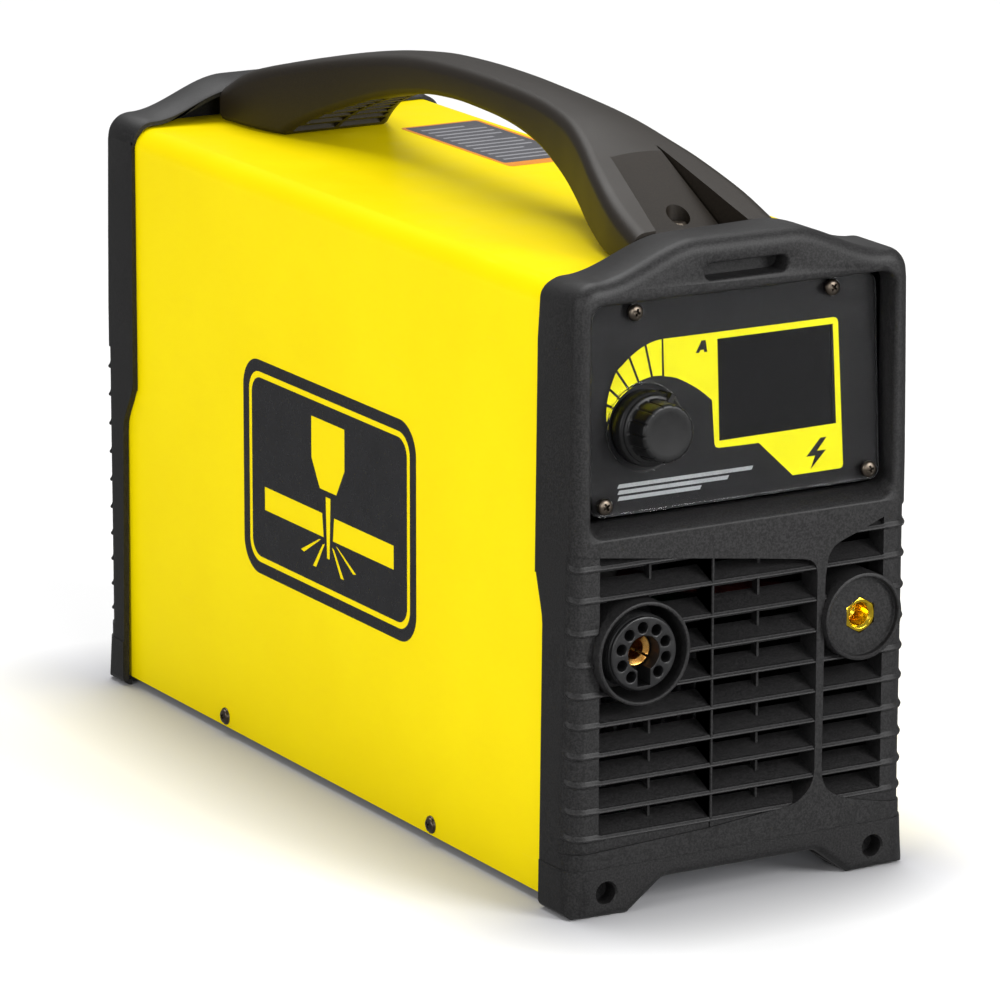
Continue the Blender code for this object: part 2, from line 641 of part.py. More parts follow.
def make_knob(plane):
    """Fluted cap on a wider skirt, open at the back round its hub."""
    pivot = bpy.data.objects.new("knob_axis", None)
    pivot.location = (KNOB_X, 0, KNOB_Z)
    pivot.parent = plane
    bpy.context.collection.objects.link(pivot)
    back = SHIELD_THICKNESS - 0.5 * MM
    front = -KNOB_REACH
    skirt, cap = KNOB_SKIRT_RADIUS, KNOB_CAP_RADIUS
    profile = ((5.2 * MM, back), (skirt, back), (skirt, -KNOB_SKIRT_HEIGHT + 0.8 * MM),
               (skirt - 0.8 * MM, -KNOB_SKIRT_HEIGHT), (cap + 0.4 * MM, -KNOB_SKIRT_HEIGHT),
               (cap, front + 1.2 * MM), (cap - 1.2 * MM, front), (0, front), (0, front + 3 * MM),
               (3.3 * MM, front + 3 * MM), (3.3 * MM, -4 * MM), (5.2 * MM, -4 * MM))
    shape = turned('Y', (0, 0), profile, 24)
    knob = place("control_knob", shape, MATERIALS["knob"], pivot)
    grooves = bmesh.new()
    for i in range(KNOB_GROOVES):
        angle = 2 * math.pi * (i + 0.5) / KNOB_GROOVES
        radius = cap + 0.9 * MM
        cylinder('Y', (radius * math.cos(angle), radius * math.sin(angle)), 1.6 * MM, front - MM,
                 -KNOB_SKIRT_HEIGHT - 0.8 * MM, 6, grooves)
    cut(knob, grooves, pivot)
    pointer = block((-1.4 * MM, -KNOB_SKIRT_HEIGHT - 1.2 * MM, cap - 2 * MM),
                    (1.4 * MM, back, skirt + 1.2 * MM))
    bmesh.ops.rotate(pointer, verts=pointer.verts, cent=(0, 0, 0),
                     matrix=Matrix.Rotation(math.radians(33), 3, 'Y'))
    add(knob, pointer, pivot)
    shaft = cylinder('Y', (0, 0), 3.0 * MM, front + 3.3 * MM, SHIELD_THICKNESS + 6 * MM, 16)
    place("knob_shaft", shaft, MATERIALS["steel"], pivot)


def make_control_board():
    y = FRONT_Y + RECESS_DEPTH + RECESS_FLOOR + 8 * MM
    board = block((-74 * MM, y, 190 * MM), (74 * MM, y + 1.6 * MM, 286 * MM))
    place("control_board", board, MATERIALS["board"])


# Torch socket and work terminal -------------------------------------------------------------
def make_torch_socket():
    centre = (TORCH_X, TORCH_Z)
    outer = TORCH_HOOD_RADIUS
    inner = outer - TORCH_HOOD_WALL
    front, back = FRONT_Y - TORCH_HOOD_REACH, FRONT_Y + 27 * MM
    hood = ((inner, front), (outer - 0.7 * MM, front), (outer, front + 0.7 * MM), (outer, back),
            (inner, back))
    place("torch_socket_hood", turned('Y', centre, hood, 32), MATERIALS["charcoal"])

    body_front = FRONT_Y - TORCH_BODY_REACH
    flange = inner - GAP
    radius = TORCH_BODY_RADIUS
    bore = TORCH_BORE
    profile = [(bore, body_front), (radius - 1.2 * MM, body_front),
               (radius - 0.6 * MM, body_front + 1.2 * MM)]
    for turn in range(2):
        y = body_front + (3.4 + 3.6 * turn) * MM
        profile += [(radius, y), (radius - 1.1 * MM, y + 0.9 * MM), (radius - 1.1 * MM, y + 2.4 * MM)]
    profile += [(radius - 1.1 * MM, back - 4 * MM), (flange, back - 4 * MM), (flange, back - 0.5 * MM),
                (radius - 2 * MM, back - 0.5 * MM), (radius - 2 * MM, back + 14 * MM), (bore,
                                                                                        back + 14 * MM)]
    body = place("torch_socket_body", turned('Y', centre, profile, 24), MATERIALS["socket_black"])
    cavities = bmesh.new()
    for i in range(9):
        angle = math.radians(-90 + 36 * (i + 1))
        hole = (TORCH_X + TORCH_HOLE_RING * math.cos(angle), TORCH_Z + TORCH_HOLE_RING * math.sin(angle))
        cylinder('Y', hole, 2.5 * MM, body_front - MM, body_front + 12 * MM, 8, cavities)
    block((TORCH_X - 3.3 * MM, body_front - MM, TORCH_Z - 15.2 * MM),
          (TORCH_X + 3.3 * MM, body_front + 12 * MM, TORCH_Z), cavities)
    cut(body, cavities)

    contact_front = body_front + TORCH_CONTACT_DEPTH
    contact = ((TORCH_CONTACT_BORE, contact_front), (TORCH_CONTACT_RADIUS, contact_front),
               (TORCH_CONTACT_RADIUS, back + 26 * MM), (TORCH_CONTACT_BORE, back + 26 * MM))
    place("torch_contact", turned('Y', centre, contact, 24), MATERIALS["copper"])


def hexagon(centre, across_flats):
    return circle(centre, across_flats / math.sqrt(3), 6, math.pi / 2)


def make_work_terminal():
    centre = (TERMINAL_X, TERMINAL_Z)
    radius = TERMINAL_RADIUS
    front, back = FRONT_Y - TERMINAL_REACH, FRONT_Y + 21 * MM
    floor = front + TERMINAL_FLOOR
    rim = radius - TERMINAL_RIM
    hex_radius = HEX_ACROSS_FLATS / 2 + 1.6 * MM
    profile = ((hex_radius, floor), (rim, floor), (rim, front), (radius - 0.8 * MM, front),
               (radius, front + 0.8 * MM), (radius, back), (hex_radius, back))
    place("work_terminal_boss", turned('Y', centre, profile, 28), MATERIALS["charcoal"])
    insert = place("work_terminal_insert", prism(hexagon(centre, HEX_ACROSS_FLATS), 'Y', floor + 0.1 * MM,
                                                 back + 12 * MM),
                   MATERIALS["brass"])
    cut(insert, cylinder('Y', centre, 5.2 * MM, front - MM, front + 24 * MM, 20))


# Rear fittings ------------------------------------------------------------------------------
def make_power_switch():
    outer_x, outer_z = SWITCH_HALF_WIDTH, SWITCH_HALF_HEIGHT
    face = REAR_PANEL_Y + GAP
    low, high = (SWITCH_X - outer_x, SWITCH_Z - outer_z), (SWITCH_X + outer_x, SWITCH_Z + outer_z)
    frame = place("power_switch_frame", block((low[0], REAR_PANEL_BACK_Y - 16 * MM, low[1]),
                                              (high[0], face, high[1])),
                  MATERIALS["socket_black"])
    lip = 2.5 * MM
    add(frame, block((low[0] - lip, face, low[1] - lip), (high[0] + lip, face + 2 * MM, high[1] + lip)))
    well = 2 * MM
    cut(frame, block((low[0] + well, face - 12 * MM, low[1] + well),
                     (high[0] - well, face + 5 * MM, high[1] - well)))
    # the rocker is a shallow V whose two halves rise by turns
    pivot = bpy.data.objects.new("rocker_axis", None)
    pivot.location = (SWITCH_X, ROCKER_AXIS_Y, SWITCH_Z)
    pivot.rotation_euler = (-ROCKER_REST, 0, 0)
    bpy.context.collection.objects.link(pivot)
    half_z = outer_z - well - 1.6 * MM
    half_x = outer_x - well - 0.5 * MM
    outline = [(-4 * MM, -half_z + 3 * MM), (6.2 * MM, -half_z), (4.4 * MM, 0), (6.2 * MM, half_z),
               (-4 * MM, half_z - 3 * MM)]
    place("power_rocker", prism(outline, 'X', -half_x, half_x), MATERIALS["rocker"], pivot)


def make_cable_gland():
    centre = (GLAND_X, GLAND_Z)
    face = REAR_PANEL_Y + GAP
    shoulder, end = face + 5 * MM, face + 8 * MM
    thread_end = REAR_PANEL_BACK_Y - 9 * MM
    profile = ((GLAND_BORE, thread_end), (GLAND_THREAD_RADIUS, thread_end), (GLAND_THREAD_RADIUS, face),
               (13.5 * MM, face), (13.5 * MM, shoulder), (9.6 * MM, shoulder), (9.6 * MM, end),
               (GLAND_BORE, end))
    place("cable_gland_body", turned('Y', centre, profile, 18), MATERIALS["socket_black"])
    dome_back = end + GAP
    profile = ((GLAND_BORE, dome_back), (12.5 * MM, dome_back), (12.5 * MM, dome_back + 5 * MM),
               (9.5 * MM, REAR_REACH), (GLAND_BORE, REAR_REACH))
    place("cable_gland_cap", turned('Y', centre, profile, 18), MATERIALS["socket_black"])
    nut_front = REAR_PANEL_BACK_Y - GAP
    nut = place("cable_gland_nut", prism(hexagon(centre, 27 * MM), 'Y', nut_front - 5 * MM, nut_front),
                MATERIALS["steel"])
    cut(nut, cylinder('Y', centre, GLAND_THREAD_RADIUS + GAP, nut_front - 8 * MM, nut_front + MM, 24))


def make_air_inlet():
    centre = (INLET_X, INLET_Z)
    face = REAR_PANEL_Y + GAP
    thread_end = REAR_PANEL_BACK_Y - 12 * MM
    profile = ((2.6 * MM, thread_end), (INLET_THREAD_RADIUS, thread_end), (INLET_THREAD_RADIUS, face),
               (8.2 * MM, face), (8.2 * MM, REAR_REACH - 10 * MM), (6.0 * MM, REAR_REACH - 8 * MM),
               (6.0 * MM, REAR_REACH - 0.6 * MM), (5.4 * MM, REAR_REACH), (2.6 * MM, REAR_REACH))
    inlet = place("air_inlet", turned('Y', centre, profile, 16), MATERIALS["brass"])
    add(inlet, prism(hexagon(centre, 19 * MM), 'Y', face, face + 4 * MM))
    cut(inlet, cylinder('Y', centre, 2.7 * MM, REAR_PANEL_BACK_Y - 14 * MM, REAR_REACH + MM, 12))


# Fan ----------------------------------------------------------------------------------------


def make_fan():
    outline = rounded_rectangle((-FAN_HALF, FAN_Z - FAN_HALF), (FAN_HALF, FAN_Z + FAN_HALF), 6 * MM, 3)
    frame = place("fan_frame", prism(outline, 'Y', FAN_FRONT_Y, FAN_BACK_Y), MATERIALS["fan"])
    cut(frame, cylinder('Y', (0, FAN_Z), FAN_RADIUS, FAN_FRONT_Y - MM, FAN_BACK_Y + MM, 28))
    spider = cylinder('Y', (0, FAN_Z), FAN_HUB_RADIUS, FAN_FRONT_Y, FAN_FRONT_Y + 4 * MM, 24)
    add(frame, spider)
    for i in range(4):
        strut = block((-2.5 * MM, FAN_FRONT_Y + 0.2 * MM, FAN_HUB_RADIUS - 2 * MM),
                      (2.5 * MM, FAN_FRONT_Y + 3.4 * MM, FAN_RADIUS + 2 * MM))
        turn = Matrix.Rotation(math.radians(45 + 90 * i), 3, 'Y')
        bmesh.ops.rotate(strut, verts=strut.verts, cent=(0, 0, 0), matrix=turn)
        bmesh.ops.translate(strut, verts=strut.verts, vec=(0, 0, FAN_Z))
        add(frame, strut)
    hub_front = FAN_FRONT_Y + 5 * MM
    hub_back = FAN_BACK_Y - 1.5 * MM
    pivot = bpy.data.objects.new("fan_axis", None)
    pivot.location = (0, 0, FAN_Z)
    bpy.context.collection.objects.link(pivot)
    hub = turned('Y', (0, 0), ((0, hub_front), (FAN_HUB_RADIUS, hub_front),
                               (FAN_HUB_RADIUS, hub_back - 2 * MM),
                               (FAN_HUB_RADIUS - 2 * MM, hub_back), (0, hub_back)), 28)
    rotor = place("fan_rotor", hub, MATERIALS["fan"], pivot)
    reach = FAN_RADIUS - 3.6 * MM           # the tips' corners stay inside the ring
    for i in range(FAN_BLADES):
        blade = bmesh.new()
        rings = []
        for step in range(4):
            radius = FAN_HUB_RADIUS - 2 * MM + (reach - FAN_HUB_RADIUS + 2 * MM) * step / 3
            pitch = math.radians(52 - 9 * step)
            chord = (9 + 2.6 * step) * MM
            ring = []
            for along_chord, thickness in ((-1, 0.5), (0, 0.9), (1, 0.5), (1, -0.5), (0, -0.9), (-1, -0.5)):
                a = along_chord * chord * math.cos(pitch) - thickness * MM * math.sin(pitch)
                b = along_chord * chord * math.sin(pitch) + thickness * MM * math.cos(pitch)
                b = max(min(b, 8.2 * MM), -8.2 * MM)
                ring.append((a, (hub_front + hub_back) / 2 + b, radius))
            rings.append(ring)
        loft(rings, blade)
        bmesh.ops.rotate(blade, verts=blade.verts, cent=(0, 0, 0),
                         matrix=Matrix.Rotation(2 * math.pi * i / FAN_BLADES, 3, 'Y'))
        add(rotor, blade, pivot)


# Inverter -----------------------------------------------------------------------------------


def comb_section(low_x, high_x, fins):
    """Heat-sink section: fins hanging from a base plate."""
    base_low, base_high = SINK_BASE_Z, SINK_BASE_Z + 6 * MM
    fin = 2 * MM
    pitch = (high_x - low_x - fin) / (fins - 1)
    points = [(high_x, base_high), (low_x, base_high)]
    for i in range(fins):
        x = low_x + pitch * i
        points += [(x, SINK_BOTTOM_Z), (x + fin, SINK_BOTTOM_Z)]
        if i < fins - 1:
            points += [(x + fin, base_low), (x + pitch, base_low)]
    return points


def make_inverter():
    for name, low, high in (("heatsink_primary", -80, -4), ("heatsink_secondary", 4, 80)):
        section = comb_section(low * MM, high * MM, 9)
        place(name, prism(section, 'Y', -70 * MM, 150 * MM), MATERIALS["aluminium"])
    top = SINK_BASE_Z + 6 * MM + GAP
    modules = (("igbt_module_1", -44, 60, (34, 46, 14)), ("igbt_module_2", -44, -10, (34, 46, 14)),
               ("rectifier_module", 42, 30, (34, 60, 14)), ("input_bridge", -44, 120, (30, 30, 9)))
    for name, x, y, size in modules:
        low = (x * MM - size[0] / 2 * MM, y * MM - size[1] / 2 * MM, top)
        high = (x * MM + size[0] / 2 * MM, y * MM + size[1] / 2 * MM, top + size[2] * MM)
        place(name, block(low, high), MATERIALS["module"])
    place("power_board", block((-82 * MM, -84 * MM, BOARD_Z), (82 * MM, 168 * MM, BOARD_Z + 1.6 * MM)),
          MATERIALS["board"])
    deck = BOARD_Z + 1.6 * MM + GAP
    for i, x in enumerate((-58, -18, 22)):
        can = ((0, deck), (15.5 * MM, deck), (15.5 * MM, deck + 2 * MM), (17.5 * MM, deck + 3 * MM),
               (17.5 * MM, deck + 47 * MM), (16 * MM, deck + 49 * MM), (0, deck + 49 * MM))
        place(f"bulk_capacitor_{i + 1}", turned('Z', (x * MM, 132 * MM), can, 12), MATERIALS["capacitor"])
    place("soft_start_relay", block((50 * MM, 108 * MM, deck), (72 * MM, 140 * MM, deck + 26 * MM)),
          MATERIALS["module"])
    ring = ((12 * MM, deck), (22 * MM, deck), (22 * MM, deck + 18 * MM), (12 * MM, deck + 18 * MM))
    place("mains_filter_choke", turned('Z', (50 * MM, 80 * MM), ring, 16), MATERIALS["ferrite"])
    make_transformer(deck)
    choke = ((16 * MM, 98 * MM), (36 * MM, 98 * MM), (36 * MM, 128 * MM), (16 * MM, 128 * MM))
    place("output_choke", turned('Z', (32 * MM, -42 * MM), choke, 18), MATERIALS["ferrite"])


def make_transformer(deck):
    """Two-window ferrite core and the winding round its middle leg."""
    x, y = -34 * MM, 32 * MM
    half_x, half_y, height = 34 * MM, 19 * MM, 56 * MM
    core = place("transformer_core", block((x - half_x, y - half_y, deck),
                                           (x + half_x, y + half_y, deck + height)), MATERIALS["ferrite"])
    windows = bmesh.new()
    for side in (-1, 1):
        low, high = sorted((side * 9 * MM, side * 26 * MM))
        block((x + low, y - half_y - MM, deck + 9 * MM),
              (x + high, y + half_y + MM, deck + height - 9 * MM), windows)
    cut(core, windows)
    low_z, high_z = deck + 9.6 * MM, deck + height - 9.6 * MM
    ring = rounded_rectangle((x - 25.4 * MM, y - half_y - 12 * MM), (x + 25.4 * MM, y + half_y + 12 * MM),
                             8 * MM, 3)
    winding = place("transformer_winding", prism(ring, 'Z', low_z, high_z), MATERIALS["copper"])
    cut(winding, block((x - 9.4 * MM, y - half_y - 0.4 * MM, low_z - MM),
                       (x + 9.4 * MM, y + half_y + 0.4 * MM, high_z + MM)))


# Air system ---------------------------------------------------------------------------------


def tube(name, points, diameter, material):
    """A hose along a smooth curve through hand-set points."""
    curve = bpy.data.curves.new(name, 'CURVE')
    curve.dimensions = '3D'
    curve.bevel_depth = diameter / 2
    curve.bevel_resolution = 2
    curve.use_fill_caps = True
    spline = curve.splines.new('POLY')
    path = smooth_path(points, 2)
    spline.points.add(len(path) - 1)
    for slot, point in zip(spline.points, path):
        slot.co = (*point, 1)
    curve.materials.append(material)
    thing = bpy.data.objects.new(name, curve)
    bpy.context.collection.objects.link(thing)
    return thing


def smooth_path(points, steps):
    nodes = [Vector(point) * MM for point in points]
    path = []
    for i in range(len(nodes) - 1):
        before, here = nodes[max(i - 1, 0)], nodes[i]
        there, after = nodes[i + 1], nodes[min(i + 2, len(nodes) - 1)]
        slope = there - before
        square = 2 * before - 5 * here + 4 * there - after
        cube = 3 * here - before - 3 * there + after
        for step in range(steps):
            t = step / steps
            path.append(0.5 * (2 * here + slope * t + square * t ** 2 + cube * t ** 3))
    path.append(nodes[-1])
    return path


def make_air_system():
    x, y, z = VALVE_X, VALVE_Y, VALVE_Z
    body = place("air_valve_body", block((x - 14 * MM, y - 14 * MM, z - 12 * MM),
                                         (x + 14 * MM, y + 14 * MM, z + 6 * MM)), MATERIALS["brass"])
    bore = bmesh.new()
    cylinder('Z', (x, y), 5.3 * MM, z - 6 * MM, z + 8 * MM, 16, bore)
    cut(body, bore)
    coil_base, coil_top, well_top = z + 6 * MM + GAP, z + 38 * MM, z + 34 * MM
    sleeve = ((5.3 * MM, coil_base), (14 * MM, coil_base), (14 * MM, coil_top), (0, coil_top),
              (0, well_top), (5.3 * MM, well_top))
    place("air_valve_coil", turned('Z', (x, y), sleeve, 20), MATERIALS["module"])
    plunger_top = well_top - PLUNGER_STROKE - 2 * GAP
    plunger = ((0, z - 5.7 * MM), (3.2 * MM, z - 5.7 * MM), (5.0 * MM, z - 3 * MM),
               (5.0 * MM, plunger_top), (0, plunger_top))
    place("air_valve_plunger", turned('Z', (x, y), plunger, 16), MATERIALS["steel"])
    filter_profile = ((0, 176 * MM), (10 * MM, 178 * MM), (15 * MM, 184 * MM), (15 * MM, 226 * MM),
                      (12 * MM, 232 * MM), (0, 232 * MM))
    place("air_filter", turned('Z', (40 * MM, 176 * MM), filter_profile, 20), MATERIALS["bowl"])
    switch = ((0, z - 10 * MM), (10 * MM, z - 10 * MM), (10 * MM, z + 8 * MM), (6 * MM, z + 14 * MM),
              (0, z + 14 * MM))
    place("pressure_switch", turned('Z', (x - 34 * MM, y), switch, 16), MATERIALS["module"])
    clear = 0.4
    tube("inlet_hose", ((40, 212.6 - clear, 212), (40, 206, 212), (40, 199, 212), (40, 191.5 + clear, 212)),
         7 * MM, MATERIALS["hose"])
    tube("filter_hose", ((24.6, 176, 212), (20, 176, 212), (12, 174, 211.5), (4, 170, 210),
                         (-1, 170, 210), (-5.6, 170, 210)), 7 * MM, MATERIALS["hose"])
    tube("torch_hose", ((-20, 153.4, 208), (-20, 146, 208), (-22, 130, 207), (-34, 90, 200), (-50, 30, 186),
                        (-60, -40, 172), (-62, -110, 150), (-57, -160, 130), (-56, -178, 125.5),
                        (-56, -185.4, 125.5)), 8 * MM, MATERIALS["hose"])
    # lead from the choke to the work terminal
    tube("work_lead", ((32, -79.4, 113), (32, -86, 113), (36, -102, 114), (50, -140, 120),
                       (62, -175, 125.5), (65, -196, 126.5), (65, -205.4, 126.5)), 9 * MM,
         MATERIALS["cable_red"])


# Assembly -----------------------------------------------------------------------------------
clear_scene()
MATERIALS = {
    "charcoal": finish("charcoal", 0.035, 0.036, 0.038, 0.55),
    "yellow": finish("yellow", 0.90, 0.70, 0.005, 0.28),
    "handle": finish("handle", 0.035, 0.035, 0.037, 0.45),
    "tray": finish("tray", 0.12, 0.12, 0.12, 0.5, 0.6),
    "dark_steel": finish("dark_steel", 0.10, 0.08, 0.06, 0.35, 1.0),
    "clear": finish("clear", 0.8, 0.82, 0.84, 0.05, 0.0, 0.25),
    "panel_black": finish("panel_black", 0.02, 0.02, 0.022, 0.3),
    "display": finish("display", 0.01, 0.01, 0.012, 0.15),
    "knob": finish("knob", 0.02, 0.02, 0.02, 0.4),
    "socket_black": finish("socket_black", 0.02, 0.02, 0.02, 0.4),
    "copper": finish("copper", 0.75, 0.36, 0.14, 0.3, 1.0),
    "brass": finish("brass", 0.80, 0.55, 0.12, 0.25, 1.0),
    "steel": finish("steel", 0.5, 0.5, 0.5, 0.35, 1.0),
    "rocker": finish("rocker", 0.02, 0.02, 0.02, 0.3),
    "fan": finish("fan", 0.02, 0.02, 0.02, 0.45),
    "aluminium": finish("aluminium", 0.7, 0.7, 0.72, 0.4, 1.0),
    "module": finish("module", 0.03, 0.03, 0.03, 0.5),
    "board": finish("board", 0.02, 0.16, 0.06, 0.5),
    "capacitor": finish("capacitor", 0.03, 0.04, 0.12, 0.35),
    "ferrite": finish("ferrite", 0.06, 0.055, 0.05, 0.7),
    "bowl": finish("bowl", 0.55, 0.6, 0.65, 0.2),
    "hose": finish("hose", 0.02, 0.08, 0.3, 0.4),
    "cable_red": finish("cable_red", 0.35, 0.02, 0.02, 0.5),
}

make_front_bezel()
make_rear_bezel()
make_cover()
make_tray()
make_handle()
make_handle_screws()
make_cover_screws()
panel_plane = make_panel_plane()
make_shield(panel_plane)
overlay_back_y = make_overlay(panel_plane)
make_display(panel_plane, overlay_back_y)
make_encoder(panel_plane, overlay_back_y)
make_knob(panel_plane)
for screw_number, (screw_x, screw_z) in enumerate(PANEL_SCREWS, 1):
    make_screw(f"panel_screw_{screw_number}", 'Y', (screw_x * MM, screw_z * MM), -GAP, -1, panel_plane,
               8 * MM)
make_control_board()
make_torch_socket()
make_work_terminal()
make_power_switch()
make_cable_gland()
make_air_inlet()
make_fan()
make_inverter()
make_air_system()
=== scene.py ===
import json
import math

import bmesh
import bpy
from mathutils import Matrix, Vector


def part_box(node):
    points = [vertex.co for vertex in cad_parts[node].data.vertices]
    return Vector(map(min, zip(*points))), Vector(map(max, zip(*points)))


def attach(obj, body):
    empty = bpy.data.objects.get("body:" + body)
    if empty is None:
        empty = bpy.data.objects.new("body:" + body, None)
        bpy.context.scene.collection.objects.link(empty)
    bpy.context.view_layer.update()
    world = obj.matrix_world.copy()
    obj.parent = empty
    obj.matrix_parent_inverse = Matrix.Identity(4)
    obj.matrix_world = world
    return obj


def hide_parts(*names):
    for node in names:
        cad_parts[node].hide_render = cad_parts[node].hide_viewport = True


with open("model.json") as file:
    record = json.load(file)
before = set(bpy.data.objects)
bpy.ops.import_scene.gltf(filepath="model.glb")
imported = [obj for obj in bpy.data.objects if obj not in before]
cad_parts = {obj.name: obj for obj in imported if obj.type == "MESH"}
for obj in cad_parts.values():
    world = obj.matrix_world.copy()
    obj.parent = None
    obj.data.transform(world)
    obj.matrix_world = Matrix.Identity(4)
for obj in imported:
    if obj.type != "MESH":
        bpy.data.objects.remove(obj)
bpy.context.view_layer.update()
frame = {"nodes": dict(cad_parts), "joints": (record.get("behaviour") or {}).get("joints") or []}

# Shapes are worked out in millimetres and scaled to metres when a piece is made.
MM = 0.001


def low(node):
    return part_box(node)[0] / MM


def high(node):
    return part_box(node)[1] / MM


def middle(node):
    return (low(node) + high(node)) / 2


FRONT = low("front_bezel").y            # front face of the front bezel
REAR = high("rear_bezel").y             # rear face of the rear bezel
COVER_HALF = high("cover").x
COVER_TOP = high("cover").z
HUMP_TOP = high("front_bezel").z
TORCH = middle("torch_socket_hood")
TERMINAL = middle("work_terminal_boss")

# Bezel outline, shared with the frame
TOP_HALF_WIDTH, FLARE, FLARE_FROM = 90.3, 0.011, 300
SHOULDER, HUMP_FLAT, HUMP_FOOT, CORNER = 301.2, 25, 78, 12
FOOT_INNER, RAMP_INNER, UNDERSIDE = 60.8, 43, 14
FACE = 14                               # thickness of the bezel's face
WALL = 3
SLOT_DEPTH = 11.5                       # the slot over the panel is blind
RIB_HEIGHTS = (167.3, 152.4, 136.9, 121.8, 106.9, 92.3, 78.0, 64.4, 51.0, 38.0)
COLUMNS = ((-77.0, -16.8), (-15.5, 40.8), (45.0, 78.5))
LAYER = 1.5                             # depth of the grille's layer behind the raised frame
COVER_THICKNESS, COVER_BEND = 1.2, 10.5
FOOT_HOLE = (73.6, 11.4)                # from the middle, and above the ground
SLOT_HALF, SLOT_LOW, SLOT_HIGH, SLOT_RADIUS = 22.6, 296.9, 304.7, 3.85
RECESS_HALF, RECESS_LOW, RECESS_HIGH, RECESS_RADIUS = 82.3, 181.5, 290.5, 7
PANEL_RECESS, REAR_RECESS = 21, 9       # depths of the recess in the front and rear bezels
PANEL_LEDGE = 5.2                       # rise of the front recess's bottom edge inwards
FRONT_FOOT, REAR_FOOT = 28.0, 21.5      # depths of the bezels' lower parts
SKIRT, SKIRT_TOP = 0.45, 23.6           # how far the feet stand proud, and up to where
TORCH_BORE, TERMINAL_BORE = 25.1, 21.5  # radii
REAR_FACE = REAR - REAR_RECESS + 0.3    # where the rear fittings' flanges start
SWITCH_LIP = 2.5                        # how far the switch's frame laps over its hole
GLAND_BORE = 10.3

# The control panel's plane leans back; the knob's axis gives the lean
KNOB_JOINT = next(j for j in frame["joints"] if j["name"] == "knob_turn")
KNOB_AXIS = Vector(KNOB_JOINT["axis"]).normalized()
TILT = math.asin(KNOB_AXIS.z)
SHIELD = middle("panel_shield")
PANEL = Matrix.Rotation(-TILT, 4, 'X')
SHIELD_HALF_WIDTH = high("panel_shield").x
SHIELD_THICKNESS = 3.0
SHIELD_HALF_HEIGHT = ((high("panel_shield").z - low("panel_shield").z)
                      - SHIELD_THICKNESS * math.sin(TILT)) / 2 / math.cos(TILT)
PANEL_ORIGIN = SHIELD - PANEL @ Vector((0, SHIELD_THICKNESS / 2, 0))


# Mesh tools ---------------------------------------------------------------------------------
def ring_loft(rings, shape=None):
    """A closed solid through rings of points, with flat ends."""
    shape = shape or bmesh.new()
    loops = [[shape.verts.new(point) for point in ring] for ring in rings]
    count = len(rings[0])
    for near, far in zip(loops, loops[1:]):
        for i in range(count):
            j = (i + 1) % count
            shape.faces.new((near[i], near[j], far[j], far[i]))
    shape.faces.new(loops[0][::-1])
    shape.faces.new(loops[-1])
    return shape


def along(axis, a, b, height):
    return {'X': (height, a, b), 'Y': (a, height, b), 'Z': (a, b, height)}[axis]


def level(y, outline):
    """A flat outline of (x, z) points at one depth."""
    return [(x, y, z) for x, z in outline]


def mirrored(right, *centre):
    """A right half, points on the middle line, and the right half again as the left."""
    return [*right, *centre, *((-x, z) for x, z in reversed(right))]


def prism(outline, axis, start, end, shape=None):
    return ring_loft([[along(axis, a, b, height) for a, b in outline] for height in (start, end)],
                     shape)


def block(start, end, shape=None):
    outline = ((start[0], start[1]), (end[0], start[1]), (end[0], end[1]), (start[0], end[1]))
    return prism(outline, 'Z', start[2], end[2], shape)


def circle(centre, radius, segments=48, phase=0.0):
    turns = [phase + 2 * math.pi * i / segments for i in range(segments)]
    return [(centre[0] + radius * math.cos(t), centre[1] + radius * math.sin(t)) for t in turns]


def cylinder(axis, centre, radius, start, end, segments=48, shape=None):
    return prism(circle(centre, radius, segments), axis, start, end, shape)


def quarter(steps):
    """Angles from 0 to 90 degrees."""
    return [math.pi / 2 * step / steps for step in range(steps + 1)]


def arc(a, b, radius, steps):
    """A quarter circle about (a, b), from its right to its top."""
    return [(a + radius * math.cos(t), b + radius * math.sin(t)) for t in quarter(steps)]


def rounded(x0, z0, x1, z1, radius, steps=6):
    """Outline of a rectangle with round corners."""
    points = []
    centres = ((x1 - radius, z1 - radius), (x0 + radius, z1 - radius),
               (x0 + radius, z0 + radius), (x1 - radius, z0 + radius))
    for corner, (a, b) in enumerate(centres):
        for step in range(steps + 1):
            angle = math.pi / 2 * (corner + step / steps)
            points.append((a + radius * math.cos(angle), b + radius * math.sin(angle)))
    return points


def turned(axis, centre, profile, segments=64, shape=None, wave=None):
    """A closed (radius, height) profile turned round an axis.

    wave(turn, radius, height) may shift a radius."""
    shape = shape or bmesh.new()
    loops = []
    for radius, height in profile:
        if radius < 1e-9:
            loops.append([shape.verts.new(along(axis, *centre, height))] * segments)
            continue
        loop = []
        for i in range(segments):
            turn = 2 * math.pi * i / segments
            r = wave(turn, radius, height) if wave else radius
            loop.append(shape.verts.new(along(axis, centre[0] + r * math.cos(turn),
                                              centre[1] + r * math.sin(turn), height)))
        loops.append(loop)
    pairs = list(zip(loops, loops[1:]))
    if profile[0][0] > 1e-9:
        pairs.append((loops[-1], loops[0]))
    for near, far in pairs:
        if near[0] is near[1] and far[0] is far[1]:
            continue
        for i in range(segments):
            j = (i + 1) % segments
            corners = list(dict.fromkeys((near[i], near[j], far[j], far[i])))
            if len(corners) > 2:
                shape.faces.new(corners)
    return shape


